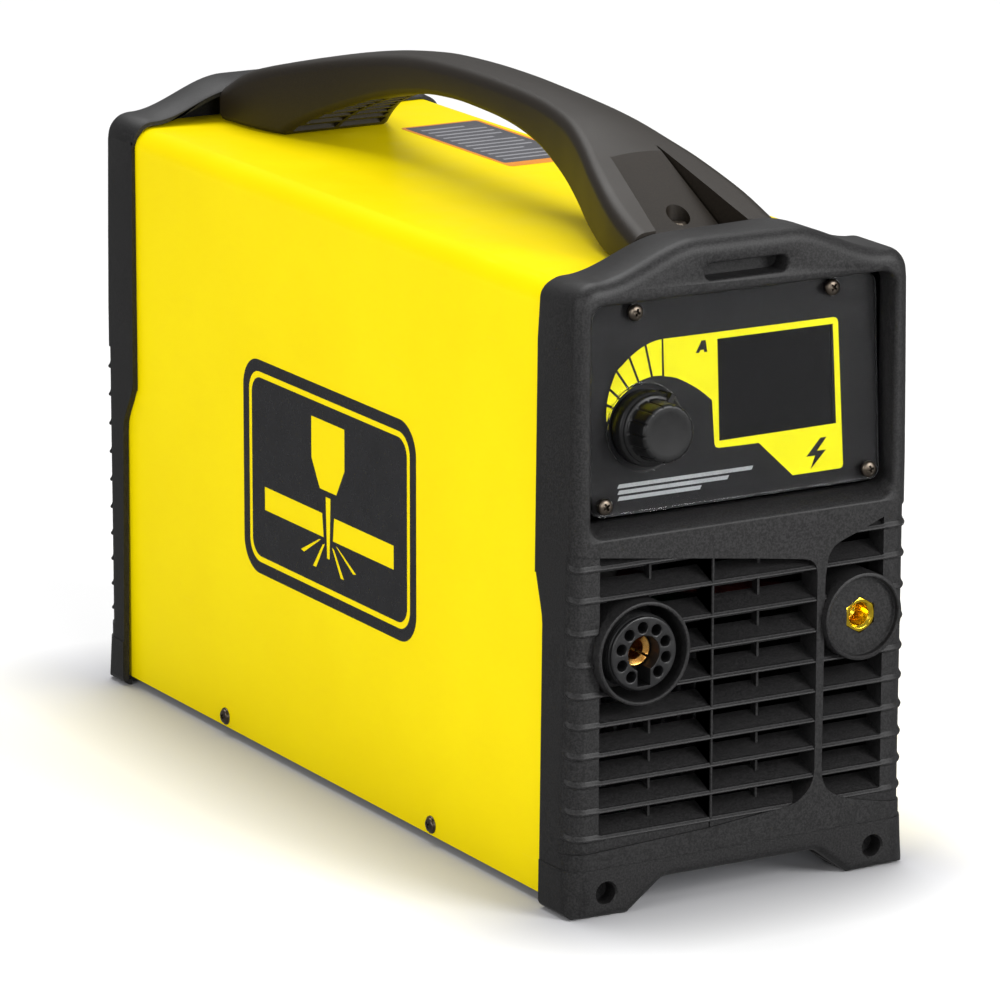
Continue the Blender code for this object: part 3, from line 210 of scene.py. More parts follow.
def smooth_path(points, steps=6):
    """Catmull-Rom points through given ones."""
    nodes = [Vector(point) for point in points]
    path = []
    for i in range(len(nodes) - 1):
        before, here = nodes[max(i - 1, 0)], nodes[i]
        there, after = nodes[i + 1], nodes[min(i + 2, len(nodes) - 1)]
        for step in range(steps):
            t = step / steps
            path.append(0.5 * (2 * here + (there - before) * t
                               + (2 * before - 5 * here + 4 * there - after) * t ** 2
                               + (3 * here - before - 3 * there + after) * t ** 3))
    path.append(nodes[-1])
    return [tuple(point) for point in path]


def interpolate(table, y):
    """Smooth value between the points of a (y, value) table."""
    if y <= table[0][0]:
        return table[0][1]
    if y >= table[-1][0]:
        return table[-1][1]
    i = max(k for k in range(len(table) - 1) if table[k][0] <= y)
    (y1, v1), (y2, v2) = table[i], table[i + 1]
    before = table[max(i - 1, 0)]
    after = table[min(i + 2, len(table) - 1)]
    slope1 = (v2 - before[1]) / (y2 - before[0])
    slope2 = (after[1] - v1) / (after[0] - y1)
    step = y2 - y1
    t = (y - y1) / step
    return ((2 * t ** 3 - 3 * t ** 2 + 1) * v1 + (t ** 3 - 2 * t ** 2 + t) * step * slope1
            + (3 * t ** 2 - 2 * t ** 3) * v2 + (t ** 3 - t ** 2) * step * slope2)


def inset(outline, reach):
    """Move the edges of a counter-clockwise outline inwards, the one after point i by reach(i)."""
    moved = []
    count = len(outline)
    for i in range(count):
        before, here, after = (Vector(outline[k % count]) for k in (i - 1, i, i + 1))
        first, second = (here - before).normalized(), (after - here).normalized()
        n1, n2 = Vector((-first.y, first.x)), Vector((-second.y, second.x))
        d1, d2 = reach((i - 1) % count), reach(i)
        det = n1.x * n2.y - n1.y * n2.x
        if abs(det) < 0.02:
            normal = (n1 + n2).normalized()
            moved.append(tuple(here + normal * (d1 + d2) / 2))
        else:
            moved.append((here.x + (d1 * n2.y - d2 * n1.y) / det,
                          here.y + (d2 * n1.x - d1 * n2.x) / det))
    return moved


def clip(outline, index, limit, keep_above):
    """Cut a polygon off at x (index 0) or z (index 1) = limit."""
    sign = 1 if keep_above else -1
    result = []
    for here, after in zip(outline, outline[1:] + outline[:1]):
        a, b = sign * (here[index] - limit), sign * (after[index] - limit)
        if a >= 0:
            result.append(here)
        if (a > 0 > b) or (a < 0 < b):
            t = a / (a - b)
            result.append(tuple(p + (q - p) * t for p, q in zip(here, after)))
    return result


def shifted(shape, x, y, z):
    bmesh.ops.translate(shape, verts=shape.verts, vec=(x, y, z))
    return shape


def rotated(shape, angle, axis):
    """Turn a shape about an axis through the origin."""
    bmesh.ops.rotate(shape, verts=shape.verts, cent=(0, 0, 0),
                     matrix=Matrix.Rotation(angle, 3, axis))
    return shape


def mesh_from(name, shape):
    mesh = bpy.data.meshes.new(name)
    shape.to_mesh(mesh)
    shape.free()
    return mesh


def add_object(name, data):
    thing = bpy.data.objects.new(name, data)
    bpy.context.scene.collection.objects.link(thing)
    return thing


def temporary(shape):
    bmesh.ops.recalc_face_normals(shape, faces=shape.faces)
    return add_object("tool", mesh_from("tool", shape))


def combined(shape, other, operation):
    """The exact union, difference or intersection of two closed shapes."""
    base, tool = temporary(shape), temporary(other)
    modifier = base.modifiers.new("boolean", 'BOOLEAN')
    modifier.operation = operation
    modifier.solver = 'EXACT'
    modifier.use_self = True
    modifier.object = tool
    evaluated = base.evaluated_get(bpy.context.evaluated_depsgraph_get())
    mesh = bpy.data.meshes.new_from_object(evaluated)
    for thing in (base, tool):
        old = thing.data
        bpy.data.objects.remove(thing)
        bpy.data.meshes.remove(old)
    result = bmesh.new()
    result.from_mesh(mesh)
    bpy.data.meshes.remove(mesh)
    bmesh.ops.remove_doubles(result, verts=result.verts, dist=0.002)
    bmesh.ops.dissolve_degenerate(result, edges=result.edges, dist=0.002)
    return result


def cut(shape, other):
    return combined(shape, other, 'DIFFERENCE')


def joined(shape, other):
    return combined(shape, other, 'UNION')


def hexagon(centre, corner, start, end, profile, segments=72, phase=0.0):
    """A bar with six sides along y, its corners turned down to a (radius, y) profile."""
    return combined(prism(circle(centre, corner, 6, phase), 'Y', start, end),
                    turned('Y', centre, profile, segments), 'INTERSECT')


def thread(start, pitch, turns, ridge):
    """Profile points of a row of ridges; ridge is the (radius, rise) points of one."""
    return [(radius, start + pitch * turn + rise) for turn in range(turns)
            for radius, rise in ridge]


def make(name, shape, material, body="root", replaces=(), bevel=0.0, segments=2, sharp=32,
         limit=32):
    """One visible piece, from a shape in millimetres."""
    bmesh.ops.scale(shape, vec=(MM, MM, MM), verts=shape.verts)
    bmesh.ops.recalc_face_normals(shape, faces=shape.faces)
    mesh = mesh_from(name, shape)
    mesh.shade_smooth()
    mesh.materials.append(material)
    piece = add_object(name, mesh)
    if bevel:
        round_edges(piece, bevel, segments, limit)
    else:
        mesh.set_sharp_from_angle(angle=math.radians(sharp))
    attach(piece, body)
    if replaces:
        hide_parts(*replaces)
    return piece


def round_edges(piece, width, segments=2, limit=32):
    modifier = piece.modifiers.new("bevel", 'BEVEL')
    modifier.width = width * MM
    modifier.segments = segments
    modifier.limit_method = 'ANGLE'
    modifier.angle_limit = math.radians(limit)
    modifier.miter_outer = 'MITER_ARC'
    modifier.use_clamp_overlap = True
    modifier.harden_normals = False
    weighted = piece.modifiers.new("normals", 'WEIGHTED_NORMAL')
    weighted.keep_sharp = False
    weighted.weight = 60


def on_panel(shape):
    """Move a shape from the panel's own plane (x, depth, z) to its place."""
    bmesh.ops.transform(shape, matrix=Matrix.Translation(PANEL_ORIGIN) @ PANEL, verts=shape.verts)
    return shape


# Materials ----------------------------------------------------------------------------------
class Finish:
    """A Principled material with helpers for noise-driven colour, roughness and bump."""

    def __init__(self, name, roughness=0.5, metallic=0.0, **sockets):
        self.material = bpy.data.materials.new(name)
        self.material.use_nodes = True
        tree = self.material.node_tree
        self.nodes, self.links = tree.nodes, tree.links
        self.shader = self.nodes["Principled BSDF"]
        self.shader.inputs["Roughness"].default_value = roughness
        self.shader.inputs["Metallic"].default_value = metallic
        for key, value in sockets.items():
            self.shader.inputs[key.replace("_", " ")].default_value = value
        self.place = self.nodes.new("ShaderNodeTexCoord").outputs["Object"]
        self.normal = None

    def feed(self, socket, value):
        """Link another node's output to a socket, or set it to a plain value."""
        if isinstance(value, bpy.types.NodeSocket):
            self.links.new(value, socket)
        else:
            socket.default_value = value

    def node(self, kind, **inputs):
        made = self.nodes.new(kind)
        for key, value in inputs.items():
            self.feed(made.inputs[key.replace("_", " ")], value)
        return made

    def stretched(self, x, y, z):
        mapping = self.node("ShaderNodeMapping", Vector=self.place, Scale=(x, y, z))
        return mapping.outputs["Vector"]

    def noise(self, size, detail=2.0, roughness=0.5, place=None):
        """Noise with features of about the given size in millimetres, from 0 to 1."""
        made = self.node("ShaderNodeTexNoise", Vector=place or self.place, Scale=1 / (size * MM),
                         Detail=detail, Roughness=roughness)
        return made.outputs["Fac"]

    def cells(self, size):
        made = self.node("ShaderNodeTexVoronoi", Vector=self.place, Scale=1 / (size * MM))
        return made.outputs["Distance"]

    def math(self, operation, *values):
        made = self.nodes.new("ShaderNodeMath")
        made.operation = operation
        for socket, value in zip(made.inputs, values):
            self.feed(socket, value)
        return made.outputs[0]

    def band(self, value, start, end, first=0.0, last=1.0):
        """Map a value from one range to another, clamped."""
        made = self.node("ShaderNodeMapRange", Value=value, From_Min=start, From_Max=end,
                         To_Min=first, To_Max=last)
        return made.outputs["Result"]

    def ramp(self, value, *stops):
        """Colours along a value: (position, (r, g, b)) stops."""
        made = self.node("ShaderNodeValToRGB", Fac=value)
        elements = made.color_ramp.elements
        while len(elements) < len(stops):
            elements.new(0.5)
        for element, (position, colour) in zip(elements, stops):
            element.position = position
            element.color = (*colour, 1)
        return made.outputs["Color"]

    def mix(self, share, first, second):
        made = self.nodes.new("ShaderNodeMix")
        made.data_type = 'RGBA'
        factor, first_colour, second_colour = 0, 6, 7       # this node's RGBA sockets
        for socket, value in ((factor, share), (first_colour, first), (second_colour, second)):
            self.feed(made.inputs[socket], (*value, 1) if isinstance(value, tuple) else value)
        return made.outputs[2]

    def colour(self, value):
        self.links.new(value, self.shader.inputs["Base Color"])

    def rough(self, value):
        self.links.new(value, self.shader.inputs["Roughness"])

    def bump(self, value, height):
        """Add a relief of the given height in millimetres."""
        made = self.node("ShaderNodeBump", Height=value, Distance=height * MM, Strength=1.0)
        if self.normal:
            self.links.new(self.normal, made.inputs["Normal"])
        self.normal = made.outputs["Normal"]
        self.links.new(self.normal, self.shader.inputs["Normal"])


def moulded(name, dark, light, grain=0.9, height=0.085, roughness=(0.44, 0.58), specular=0.35):
    """Spark-eroded moulded plastic: fine grain, faint sheen changes and dusty scuffs."""
    made = Finish(name, Specular_IOR_Level=specular)
    grains = made.noise(grain, 3, 0.6)
    clouds = made.noise(45, 3, 0.55)
    base = made.ramp(grains, (0.40, dark), (0.62, light))
    scuffs = made.band(made.noise(7, 5, 0.7, made.stretched(1, 0.35, 1)), 0.62, 0.80, 0.0, 0.16)
    dusty = tuple(c * 1.5 + 0.010 for c in light)
    made.colour(made.mix(scuffs, base, dusty))
    blend = made.mix(0.45, grains, clouds)
    made.rough(made.band(blend, 0.3, 0.7, *roughness))
    made.bump(grains, height)
    return made.material


def painted():
    """Smooth powder coat on folded sheet: faint orange peel, clouding and a few hair scratches."""
    made = Finish("yellow_powder_coat", Specular_IOR_Level=0.02)
    base = made.ramp(made.noise(80, 3, 0.5), (0.3, (0.885, 0.690, 0.0012)),
                     (0.7, (0.915, 0.730, 0.0016)))
    scratches = made.band(made.noise(2.2, 2, 0.5, made.stretched(1, 0.05, 1)), 0.72, 0.76, 0.0,
                          0.10)
    made.colour(made.mix(scratches, base, (0.93, 0.78, 0.06)))
    made.rough(made.band(made.noise(25, 4, 0.6), 0.35, 0.7, 0.30, 0.42))
    made.bump(made.noise(1.6, 2, 0.5), 0.010)
    made.bump(made.noise(120, 1, 0.5), 0.25)
    return made.material


def plain_plastic(name, dark, light, roughness=(0.28, 0.42), specular=0.45, grain=0.35,
                  height=0.012):
    made = Finish(name, Specular_IOR_Level=specular)
    fine = made.noise(grain, 3, 0.55)
    smears = made.noise(11, 4, 0.6)
    made.colour(made.ramp(smears, (0.35, dark), (0.7, light)))
    made.rough(made.band(made.mix(0.5, fine, smears), 0.3, 0.7, *roughness))
    made.bump(fine, height)
    return made.material


def metal(name, dark, light, roughness=(0.2, 0.38), stretch=(1, 1, 1), grain=0.6):
    made = Finish(name, metallic=1.0)
    lines = made.noise(grain, 3, 0.6, made.stretched(*stretch))
    tarnish = made.noise(3.5, 4, 0.6)
    made.colour(made.ramp(tarnish, (0.3, dark), (0.65, light)))
    made.rough(made.band(made.mix(0.5, lines, tarnish), 0.3, 0.7, *roughness))
    made.bump(lines, 0.01)
    return made.material


def clear_sheet():
    made = Finish("clear_polycarbonate", roughness=0.04, IOR=1.25, Transmission_Weight=1.0)
    made.colour(made.ramp(made.noise(60, 2), (0.3, (0.965, 0.97, 0.975)),
                          (0.7, (0.985, 0.988, 0.99))))
    made.rough(made.band(made.noise(6, 5, 0.65), 0.45, 0.75, 0.02, 0.07))
    made.bump(made.noise(60, 1), 0.02)
    return made.material


def printed(name, dark, light, roughness=(0.38, 0.5)):
    made = Finish(name, Specular_IOR_Level=0.2)
    dots = made.cells(0.5)
    made.colour(made.ramp(made.mix(0.5, made.noise(14, 3), dots), (0.25, dark), (0.6, light)))
    made.rough(made.band(made.noise(3, 3), 0.35, 0.65, *roughness))
    made.bump(dots, 0.002)
    return made.material


def board_finish():
    """Solder mask over copper tracks."""
    made = Finish("circuit_board", Coat_Weight=0.4, Coat_Roughness=0.2)
    tracks = made.node("ShaderNodeTexBrick", Vector=made.place, Scale=90.0, Mortar_Size=0.03,
                       Color1=(0.010, 0.085, 0.035, 1), Color2=(0.014, 0.12, 0.05, 1),
                       Mortar=(0.03, 0.2, 0.08, 1))
    made.colour(tracks.outputs["Color"])
    made.rough(made.band(made.noise(2, 3), 0.3, 0.7, 0.35, 0.55))
    made.bump(tracks.outputs["Fac"], 0.04)
    return made.material


def wound(name, dark, light):
    """Enamelled wire laid in turns."""
    pitch = 1.4
    made = Finish(name, metallic=0.75)
    wave = made.node("ShaderNodeTexWave", Vector=made.place, Scale=0.314 / (pitch * MM),
                     Distortion=0.4)
    wave.bands_direction = 'Z'
    made.colour(made.ramp(wave.outputs["Fac"], (0.1, dark), (0.6, light)))
    made.rough(made.band(made.noise(2, 3), 0.3, 0.7, 0.25, 0.45))
    made.bump(wave.outputs["Fac"], 0.35)
    return made.material


CHARCOAL = moulded("charcoal_plastic", (0.0060, 0.0058, 0.0060), (0.0185, 0.0180, 0.0185),
                   specular=0.30)
HANDLE_FINISH = moulded("handle_plastic", (0.0100, 0.0074, 0.0050), (0.0200, 0.0150, 0.0100),
                        grain=0.5, height=0.03, roughness=(0.42, 0.54), specular=0.30)
YELLOW = painted()
CLEAR = clear_sheet()
PANEL_BLACK = printed("panel_print_black", (0.0060, 0.0060, 0.0068), (0.0100, 0.0100, 0.0112))
PANEL_YELLOW = printed("panel_print_yellow", (0.95, 0.86, 0.0010), (0.99, 0.93, 0.0015))
PANEL_GREY = printed("panel_print_grey", (0.32, 0.33, 0.34), (0.48, 0.49, 0.50))
GLASS = plain_plastic("display_glass", (0.0040, 0.0040, 0.0045), (0.0060, 0.0062, 0.0070),
                      (0.06, 0.12), 0.5)
KNOB_FINISH = plain_plastic("knob_plastic", (0.0040, 0.0040, 0.0041), (0.0070, 0.0070, 0.0072),
                            (0.3, 0.44), 0.3)
NYLON = plain_plastic("black_nylon", (0.0065, 0.0065, 0.0070), (0.012, 0.012, 0.0125), (0.3, 0.44))
# painted shade: a near-black finish for the cover's inside, standing in for the shade in the
# interior
INSIDE_PAINTED_SHADE = plain_plastic("dark_inside_painted_shade", (0.004, 0.004, 0.004), (0.007, 0.007, 0.0065), (0.6, 0.75),
                       0.15)
SCREW_STEEL = metal("bronzed_screw_steel", (0.06, 0.048, 0.036), (0.15, 0.125, 0.10), (0.26, 0.42))
BRASS = metal("brass", (0.80, 0.52, 0.03), (0.98, 0.72, 0.05), (0.12, 0.26))
COPPER = metal("copper", (0.80, 0.36, 0.07), (0.98, 0.56, 0.16), (0.2, 0.36))
STEEL = metal("plated_steel", (0.36, 0.36, 0.37), (0.6, 0.6, 0.61), (0.22, 0.38))
ALUMINIUM = metal("extruded_aluminium", (0.55, 0.56, 0.58), (0.78, 0.79, 0.80), (0.26, 0.42),
                  (1, 0.03, 1))
TRAY_STEEL = metal("galvanised_tray", (0.22, 0.23, 0.24), (0.42, 0.43, 0.45), (0.35, 0.55), grain=5)
FAN_FINISH = plain_plastic("fan_plastic", (0.0085, 0.0085, 0.009), (0.015, 0.015, 0.016),
                           (0.32, 0.45))
EPOXY = plain_plastic("module_epoxy", (0.012, 0.012, 0.013), (0.024, 0.024, 0.026), (0.42, 0.6),
                      grain=0.2)
BOARD = board_finish()
SLEEVE = plain_plastic("capacitor_sleeve", (0.010, 0.014, 0.05), (0.018, 0.026, 0.09), (0.22, 0.34))
FERRITE = plain_plastic("ferrite", (0.018, 0.017, 0.016), (0.036, 0.034, 0.032), (0.55, 0.75),
                        grain=0.5, height=0.05)
WINDING = wound("enamelled_winding", (0.30, 0.10, 0.03), (0.72, 0.34, 0.12))
BOWL = plain_plastic("filter_bowl_plastic", (0.30, 0.33, 0.36), (0.44, 0.47, 0.50), (0.12, 0.22))
HOSE = plain_plastic("air_hose_plastic", (0.008, 0.035, 0.14), (0.014, 0.06, 0.22), (0.28, 0.4))
LEAD = plain_plastic("lead_jacket", (0.030, 0.004, 0.004), (0.045, 0.006, 0.005), (0.38, 0.52))
ORANGE = printed("label_orange", (0.62, 0.20, 0.012), (0.74, 0.27, 0.02))
LABEL_GREY = printed("label_grey", (0.055, 0.055, 0.062), (0.085, 0.085, 0.095))
LABEL_PALE = printed("label_pale", (0.20, 0.20, 0.22), (0.28, 0.28, 0.30))
DECAL_BLACK = printed("decal_black", (0.010, 0.010, 0.011), (0.016, 0.016, 0.018), (0.25, 0.34))


# Bezels -------------------------------------------------------------------------------------
def half_width(z):
    return TOP_HALF_WIDTH + FLARE * (FLARE_FROM - z)


def hump_height(x):
    t = min(max((HUMP_FOOT - abs(x)) / (HUMP_FOOT - HUMP_FLAT), 0), 1)
    return SHOULDER + (HUMP_TOP - SHOULDER) * t * t * (3 - 2 * t)


def bezel_outline():
    """Counter-clockwise from the middle underside."""
    right = [(RAMP_INNER - 2.6, UNDERSIDE), (RAMP_INNER - 0.3, UNDERSIDE - 0.5),
             (RAMP_INNER + 1.9, UNDERSIDE - 1.9), (FOOT_INNER, 0), (half_width(0), 0)]
    right += [(half_width(z), z) for z in SIDE_HEIGHTS]
    centre_z = SHOULDER - CORNER
    centre_x = half_width(centre_z) - CORNER
    right += arc(centre_x, centre_z, CORNER, 12)
    for step in range(1, 21):
        x = centre_x + (HUMP_FLAT - centre_x) * step / 20
        right.append((x, hump_height(x)))
    return mirrored(right)


SIDE_HEIGHTS = (24, 60, 100, 140, 180, 200, 240)
UNDER_ROUND, TOP_ROUND = 4.0, 7.0
TOP_DROP = 1.9                          # fall of the top surface from front to back, at one side
HUMP_DROP = 1.0                         # further fall of the hump


def side_round(z):
    """Radius of the front edge at the sides, fuller towards the feet."""
    return 6 + 5.5 * min(max((195 - z) / 171, 0), 1)


def edge_round(here, after):
    """Radius of the front edge along one edge of the outline."""
    z = (here[1] + after[1]) / 2
    if z > SHOULDER - CORNER:
        return TOP_ROUND
    if abs(here[0] - after[0]) > 0.6:
        return UNDER_ROUND
    return side_round(z)


def dropped(x, z):
    """Height of a point of the top surface at the bezel's back."""
    share = min(max((z - 292) / 8, 0), 1)
    hump = (hump_height(x) - SHOULDER) / (HUMP_TOP - SHOULDER)
    side = min(max((48 - x) / 38, 0), 1)
    return z - share * side * (TOP_DROP + HUMP_DROP * hump)


def shell(outline, depth, back, trim=0.0):
    """The outline as a block whose front edge is rounded, its face at y=depth."""
    count = len(outline)
    radius = [edge_round(outline[i], outline[(i + 1) % count]) - trim for i in range(count)]
    rings = []
    for angle in quarter(8):
        ring = inset(outline, lambda i: trim + radius[i] * (1 - math.sin(angle)))
        fall = [(radius[i] + radius[i - 1]) / 2 * (1 - math.cos(angle)) for i in range(count)]
        rings.append([(x, depth + f, z) for (x, z), f in zip(ring, fall)])
    rim = inset(outline, lambda i: trim + (1.0 if outline[i][1] > SHOULDER - CORNER else 0.0))
    rings.append([(x, back - 1.6, dropped(x, z)) for x, _, z in rings[-1]])
    rings.append([(x, back, dropped(x, z)) for x, z in rim])
    return ring_loft(rings)


def zone_left():
    """Outline of the grille's left zone, from x beyond the left side."""
    top = [(-110, 177.2), (-88.4, 174.4), (-50, 169.3), (-17.5, 165), (10, 161.3), (32, 158.1)]
    corner = smooth_path([(32, 158.1), (36.8, 156.9), (39.9, 153.9), (40.8, 149.2)], 4)
    lower = smooth_path([(40.6, 54), (39.2, 48.0), (34.8, 42.4), (28.2, 38.9), (19, 37.8)], 4)
    bottom = [(-17.6, 34.5), (-60, 32.6), (-110, 30.4)]
    return (top[:-1] + corner + lower + bottom)[::-1]


def zone_right():
    upper = smooth_path([(45.2, 145), (45.8, 151.2), (47.3, 158.2), (51.0, 162.6), (58.2, 165.6),
                         (69.1, 169.4), (87.5, 177), (100, 182.5), (110, 187)], 4)
    lower = smooth_path([(110, 28.6), (84.8, 32), (70, 34.7), (59.8, 37.3), (51.8, 40.5),
                         (47.3, 44.4), (45.1, 49.5), (44.6, 56)], 4)
    return (upper + lower)[::-1]


def cover_section(grow):
    """The cover's outside, open below and moved outwards by grow."""
    half, radius, top = COVER_HALF + grow, COVER_BEND + grow, COVER_TOP + grow
    return mirrored([(half, -20)] + arc(half - radius, top - radius, radius, 12))


def rib(z, end_x, edge_x, side):
    """A bead at height z, from part-way round the corner to end_x.

    It is thinner where it crosses the openings, from edge_x on."""
    wide, radius = half_width(z), side_round(z)
    stations = []
    for step in range(12):
        angle = math.radians(16 + 74 * step / 11)
        hook = max(0.0, 1 - step / 7) ** 2
        grow = min(1.0, 0.1 + step / 3)
        across, inwards = math.cos(angle), math.sin(angle)
        stations.append((wide - radius + radius * across, LAYER + radius - radius * inwards,
                         across, -inwards, 1.9 * hook, grow, 1.0))
    for x, tall in ((abs(edge_x) + 0.8, 1.0), (abs(edge_x) - 0.8, 0.62), (end_x * side, 0.62)):
        stations.append((x, LAYER, 0, -1, 0, 1, tall))
    section = ((-0.9, -1.1), (0.55, -1.1), (1.05, -0.75), (1.25, -0.15), (1.1, 0.5), (0.55, 1.1),
               (0.1, 2.1), (-0.9, 2.6))
    rings = []
    for x, y, nx, ny, lift, grow, tall in stations:
        proud = [(min(out, out * grow), rise) for out, rise in section]
        rings.append([(side * (x + nx * out), y + ny * out, z + lift + rise * tall)
                      for out, rise in proud])
    return rings


def grille(bores=()):
    """Slats, divider, stiffeners and the beads, less some (x, z, radius) bores."""
    back = FACE + 0.4
    rise = 5.6                          # of a slat, from its front to its back
    solids = []
    for z in RIB_HEIGHTS:
        outline = ((LAYER - 0.3, z - 0.8), (back, z + rise - 1.2), (back, z + rise + 0.8),
                   (LAYER + 0.4, z + 1.2), (LAYER - 0.3, z + 0.5))
        for (start, _), (_, end) in ((COLUMNS[0], COLUMNS[1]), (COLUMNS[2], COLUMNS[2])):
            solids.append(prism(outline, 'X', start - 1.5, end + 1.5))
    x0, x1 = COLUMNS[0][1], COLUMNS[1][0]
    centre = (x0 + x1) / 2
    nose = [(x0, FACE), (x0, 1.4), (centre - 0.45, 0.75), (centre + 0.45, 0.75), (x1, 1.4),
            (x1, FACE)]
    solids.append(prism(nose, 'Z', 34, 168))
    for x in (-45.2, 14.0):
        solids.append(block((x - 0.6, 9.4, 34), (x + 0.6, FACE + 0.2, 168)))
    for z in RIB_HEIGHTS[:4]:
        for a, b in COLUMNS[:2]:
            solids.append(block((a - 1, 11.5, z - 4.6), (b + 1, 12.9, z - 3.4)))
    for end, edge, side in ((COLUMNS[1][1] + 0.8, COLUMNS[0][0], -1),
                            (COLUMNS[2][0] - 0.8, COLUMNS[2][1], 1)):
        for z in RIB_HEIGHTS:
            solids.append(ring_loft(rib(z, end, edge, side)))
    bars = bmesh.new()
    for solid in solids:
        for x, z, radius in bores:
            if touches(solid, x, z, radius):
                solid = cut(solid, cylinder('Y', (x, z), radius, -8, 30, 96))
        mesh = mesh_from("bar", solid)
        bars.from_mesh(mesh)
        bpy.data.meshes.remove(mesh)
    return bars


def touches(shape, x, z, radius):
    """Whether a shape's box meets the square round a bore."""
    across = [v.co.x for v in shape.verts]
    up = [v.co.z for v in shape.verts]
    return (min(across) < x + radius and max(across) > x - radius
            and min(up) < z + radius and max(up) > z - radius)


def bezel(upper, lower, window):
    """An end cap with its face at y=0 and its open side towards +y."""
    outline = bezel_outline()
    beyond = upper + 5
    result = shell(outline, 0, upper)
    wider = inset(outline, lambda i: -SKIRT if 3 < i < len(outline) - 4 else 0.0)
    skirt = combined(shell(wider, -SKIRT, lower - 0.2),
                     block((-120, -5, -5), (120, 60, SKIRT_TOP)), 'INTERSECT')
    result = joined(result, skirt)
    inner = inset(outline, lambda i: WALL)
    fallen = [(x, dropped(x, z + WALL) - WALL) for x, z in inner]
    result = cut(result, ring_loft([level(FACE, inner), level(upper, fallen),
                                    level(beyond, fallen)]))
    result = cut(result, prism(cover_section(0.3), 'Y', lower - 6.3, beyond))
    for side in (-1, 1):
        edge, radius = side * (half_width(0) + SKIRT), 5
        fillet = [(edge + side * 3, -3), (edge + side * 3, radius)]
        for angle in quarter(8):
            fillet.append((edge - side * (radius - radius * math.cos(angle)),
                           radius - radius * math.sin(angle)))
        result = cut(result, prism(fillet + [(edge - side * radius, -3)], 'Y', -5, beyond))
    kink = smooth_path([(lower, -9), (lower, 60), (lower, 128), (lower + 0.25, 138.6),
                        (lower + 1.4, 144.4), (upper - 1.4, 159), (upper - 0.25, 164.6),
                        (upper, 175), (upper, 330)], 5)
    result = cut(result, prism(kink + [(beyond + 1, 330), (beyond + 1, -9)], 'X', -120, 120))
    # the grille's layer, behind a raised frame
    layer = shell(outline, LAYER, 60, -0.02)
    zones = prism(zone_left(), 'Y', -5, FACE - 0.5)
    prism(zone_right(), 'Y', -5, FACE - 0.5, zones)
    result = cut(result, cut(zones, layer))
    through = bmesh.new()
    for (a, b), zone in zip(COLUMNS, (zone_left(), zone_left(), zone_right())):
        opening = clip(clip(clip(zone, 0, a, True), 0, b, False), 1, RIB_HEIGHTS[-1] - 0.6, True)
        prism(opening, 'Y', -5, FACE + 3, through)
    result = cut(result, through)
    holes = bmesh.new()
    for side in (-1, 1):
        turned('Y', (side * FOOT_HOLE[0], FOOT_HOLE[1]),
               ((0, -3), (6.0, -3), (6.0, -0.3), (5.3, 0.5), (5.3, 9), (0, 9)), 40, holes)
    ring_loft([level(y, rounded(-SLOT_HALF - grow, SLOT_LOW - grow, SLOT_HALF + grow,
                                SLOT_HIGH + grow, SLOT_RADIUS + grow, 8))
               for y, grow in ((-3, 1.1), (0, 1.1), (0.35, 0.45), (1.1, 0), (SLOT_DEPTH, 0))],
              holes)
    result = cut(result, holes)
    return cut(result, window)


def window_cutter(depth, ledge):
    """The recess, flared at its mouth; ledge is how far its bottom rises inwards."""
    stations = ((-3, 2.0, 0), (0, 2.0, 0), (0.3, 1.05, 0), (0.9, 0.4, 0.2), (2.0, 0, ledge * 0.2),
                (9.0, 0, ledge), (depth, 0, ledge))
    return ring_loft([level(y, rounded(-RECESS_HALF - grow, RECESS_LOW + up - grow * 0.5,
                                       RECESS_HALF + grow, RECESS_HIGH + grow,
                                       RECESS_RADIUS + grow)) for y, grow, up in stations])


def make_front_bezel():
    depth_upper = high("front_bezel").y - FRONT
    shape = bezel(depth_upper, FRONT_FOOT, window_cutter(PANEL_RECESS, PANEL_LEDGE))
    bores = ((TORCH.x, TORCH.z, TORCH_BORE), (TERMINAL.x, TERMINAL.z, TERMINAL_BORE))
    cutter = bmesh.new()
    for x, z, radius in bores:
        cylinder('Y', (x, z), radius, -8, 30, 96, cutter)
    shape = cut(shape, cutter)
    make("front_bezel_shell", shifted(shape, 0, FRONT, 0), CHARCOAL,
         replaces=["front_bezel"], sharp=35)
    make("front_grille", shifted(grille(bores), 0, FRONT, 0), CHARCOAL, sharp=35)


def make_rear_bezel():
    depth_upper = REAR - low("rear_bezel").y
    shape = bezel(depth_upper, REAR_FOOT, window_cutter(REAR_RECESS, 0.0))
    # turned about, so what is at x here ends at -x
    holes = bmesh.new()
    switch_low, switch_high = low("power_switch_frame"), high("power_switch_frame")
    block((-switch_high.x + SWITCH_LIP - 0.3, 5, switch_low.z + SWITCH_LIP - 0.3),
          (-switch_low.x - SWITCH_LIP + 0.3, FACE + 3, switch_high.z - SWITCH_LIP + 0.3), holes)
    gland, inlet = middle("cable_gland_body"), middle("air_inlet")
    cylinder('Y', (-gland.x, gland.z), GLAND_BORE, 5, FACE + 3, 48, holes)
    cylinder('Y', (-inlet.x, inlet.z), 6.8, 5, FACE + 3, 48, holes)
    shape, bars = (shifted(rotated(part, math.pi, 'Z'), 0, REAR, 0)
                   for part in (cut(shape, holes), grille()))
    make("rear_bezel_shell", shape, CHARCOAL, replaces=["rear_bezel"], sharp=35)
    make("rear_grille", bars, CHARCOAL, sharp=35)


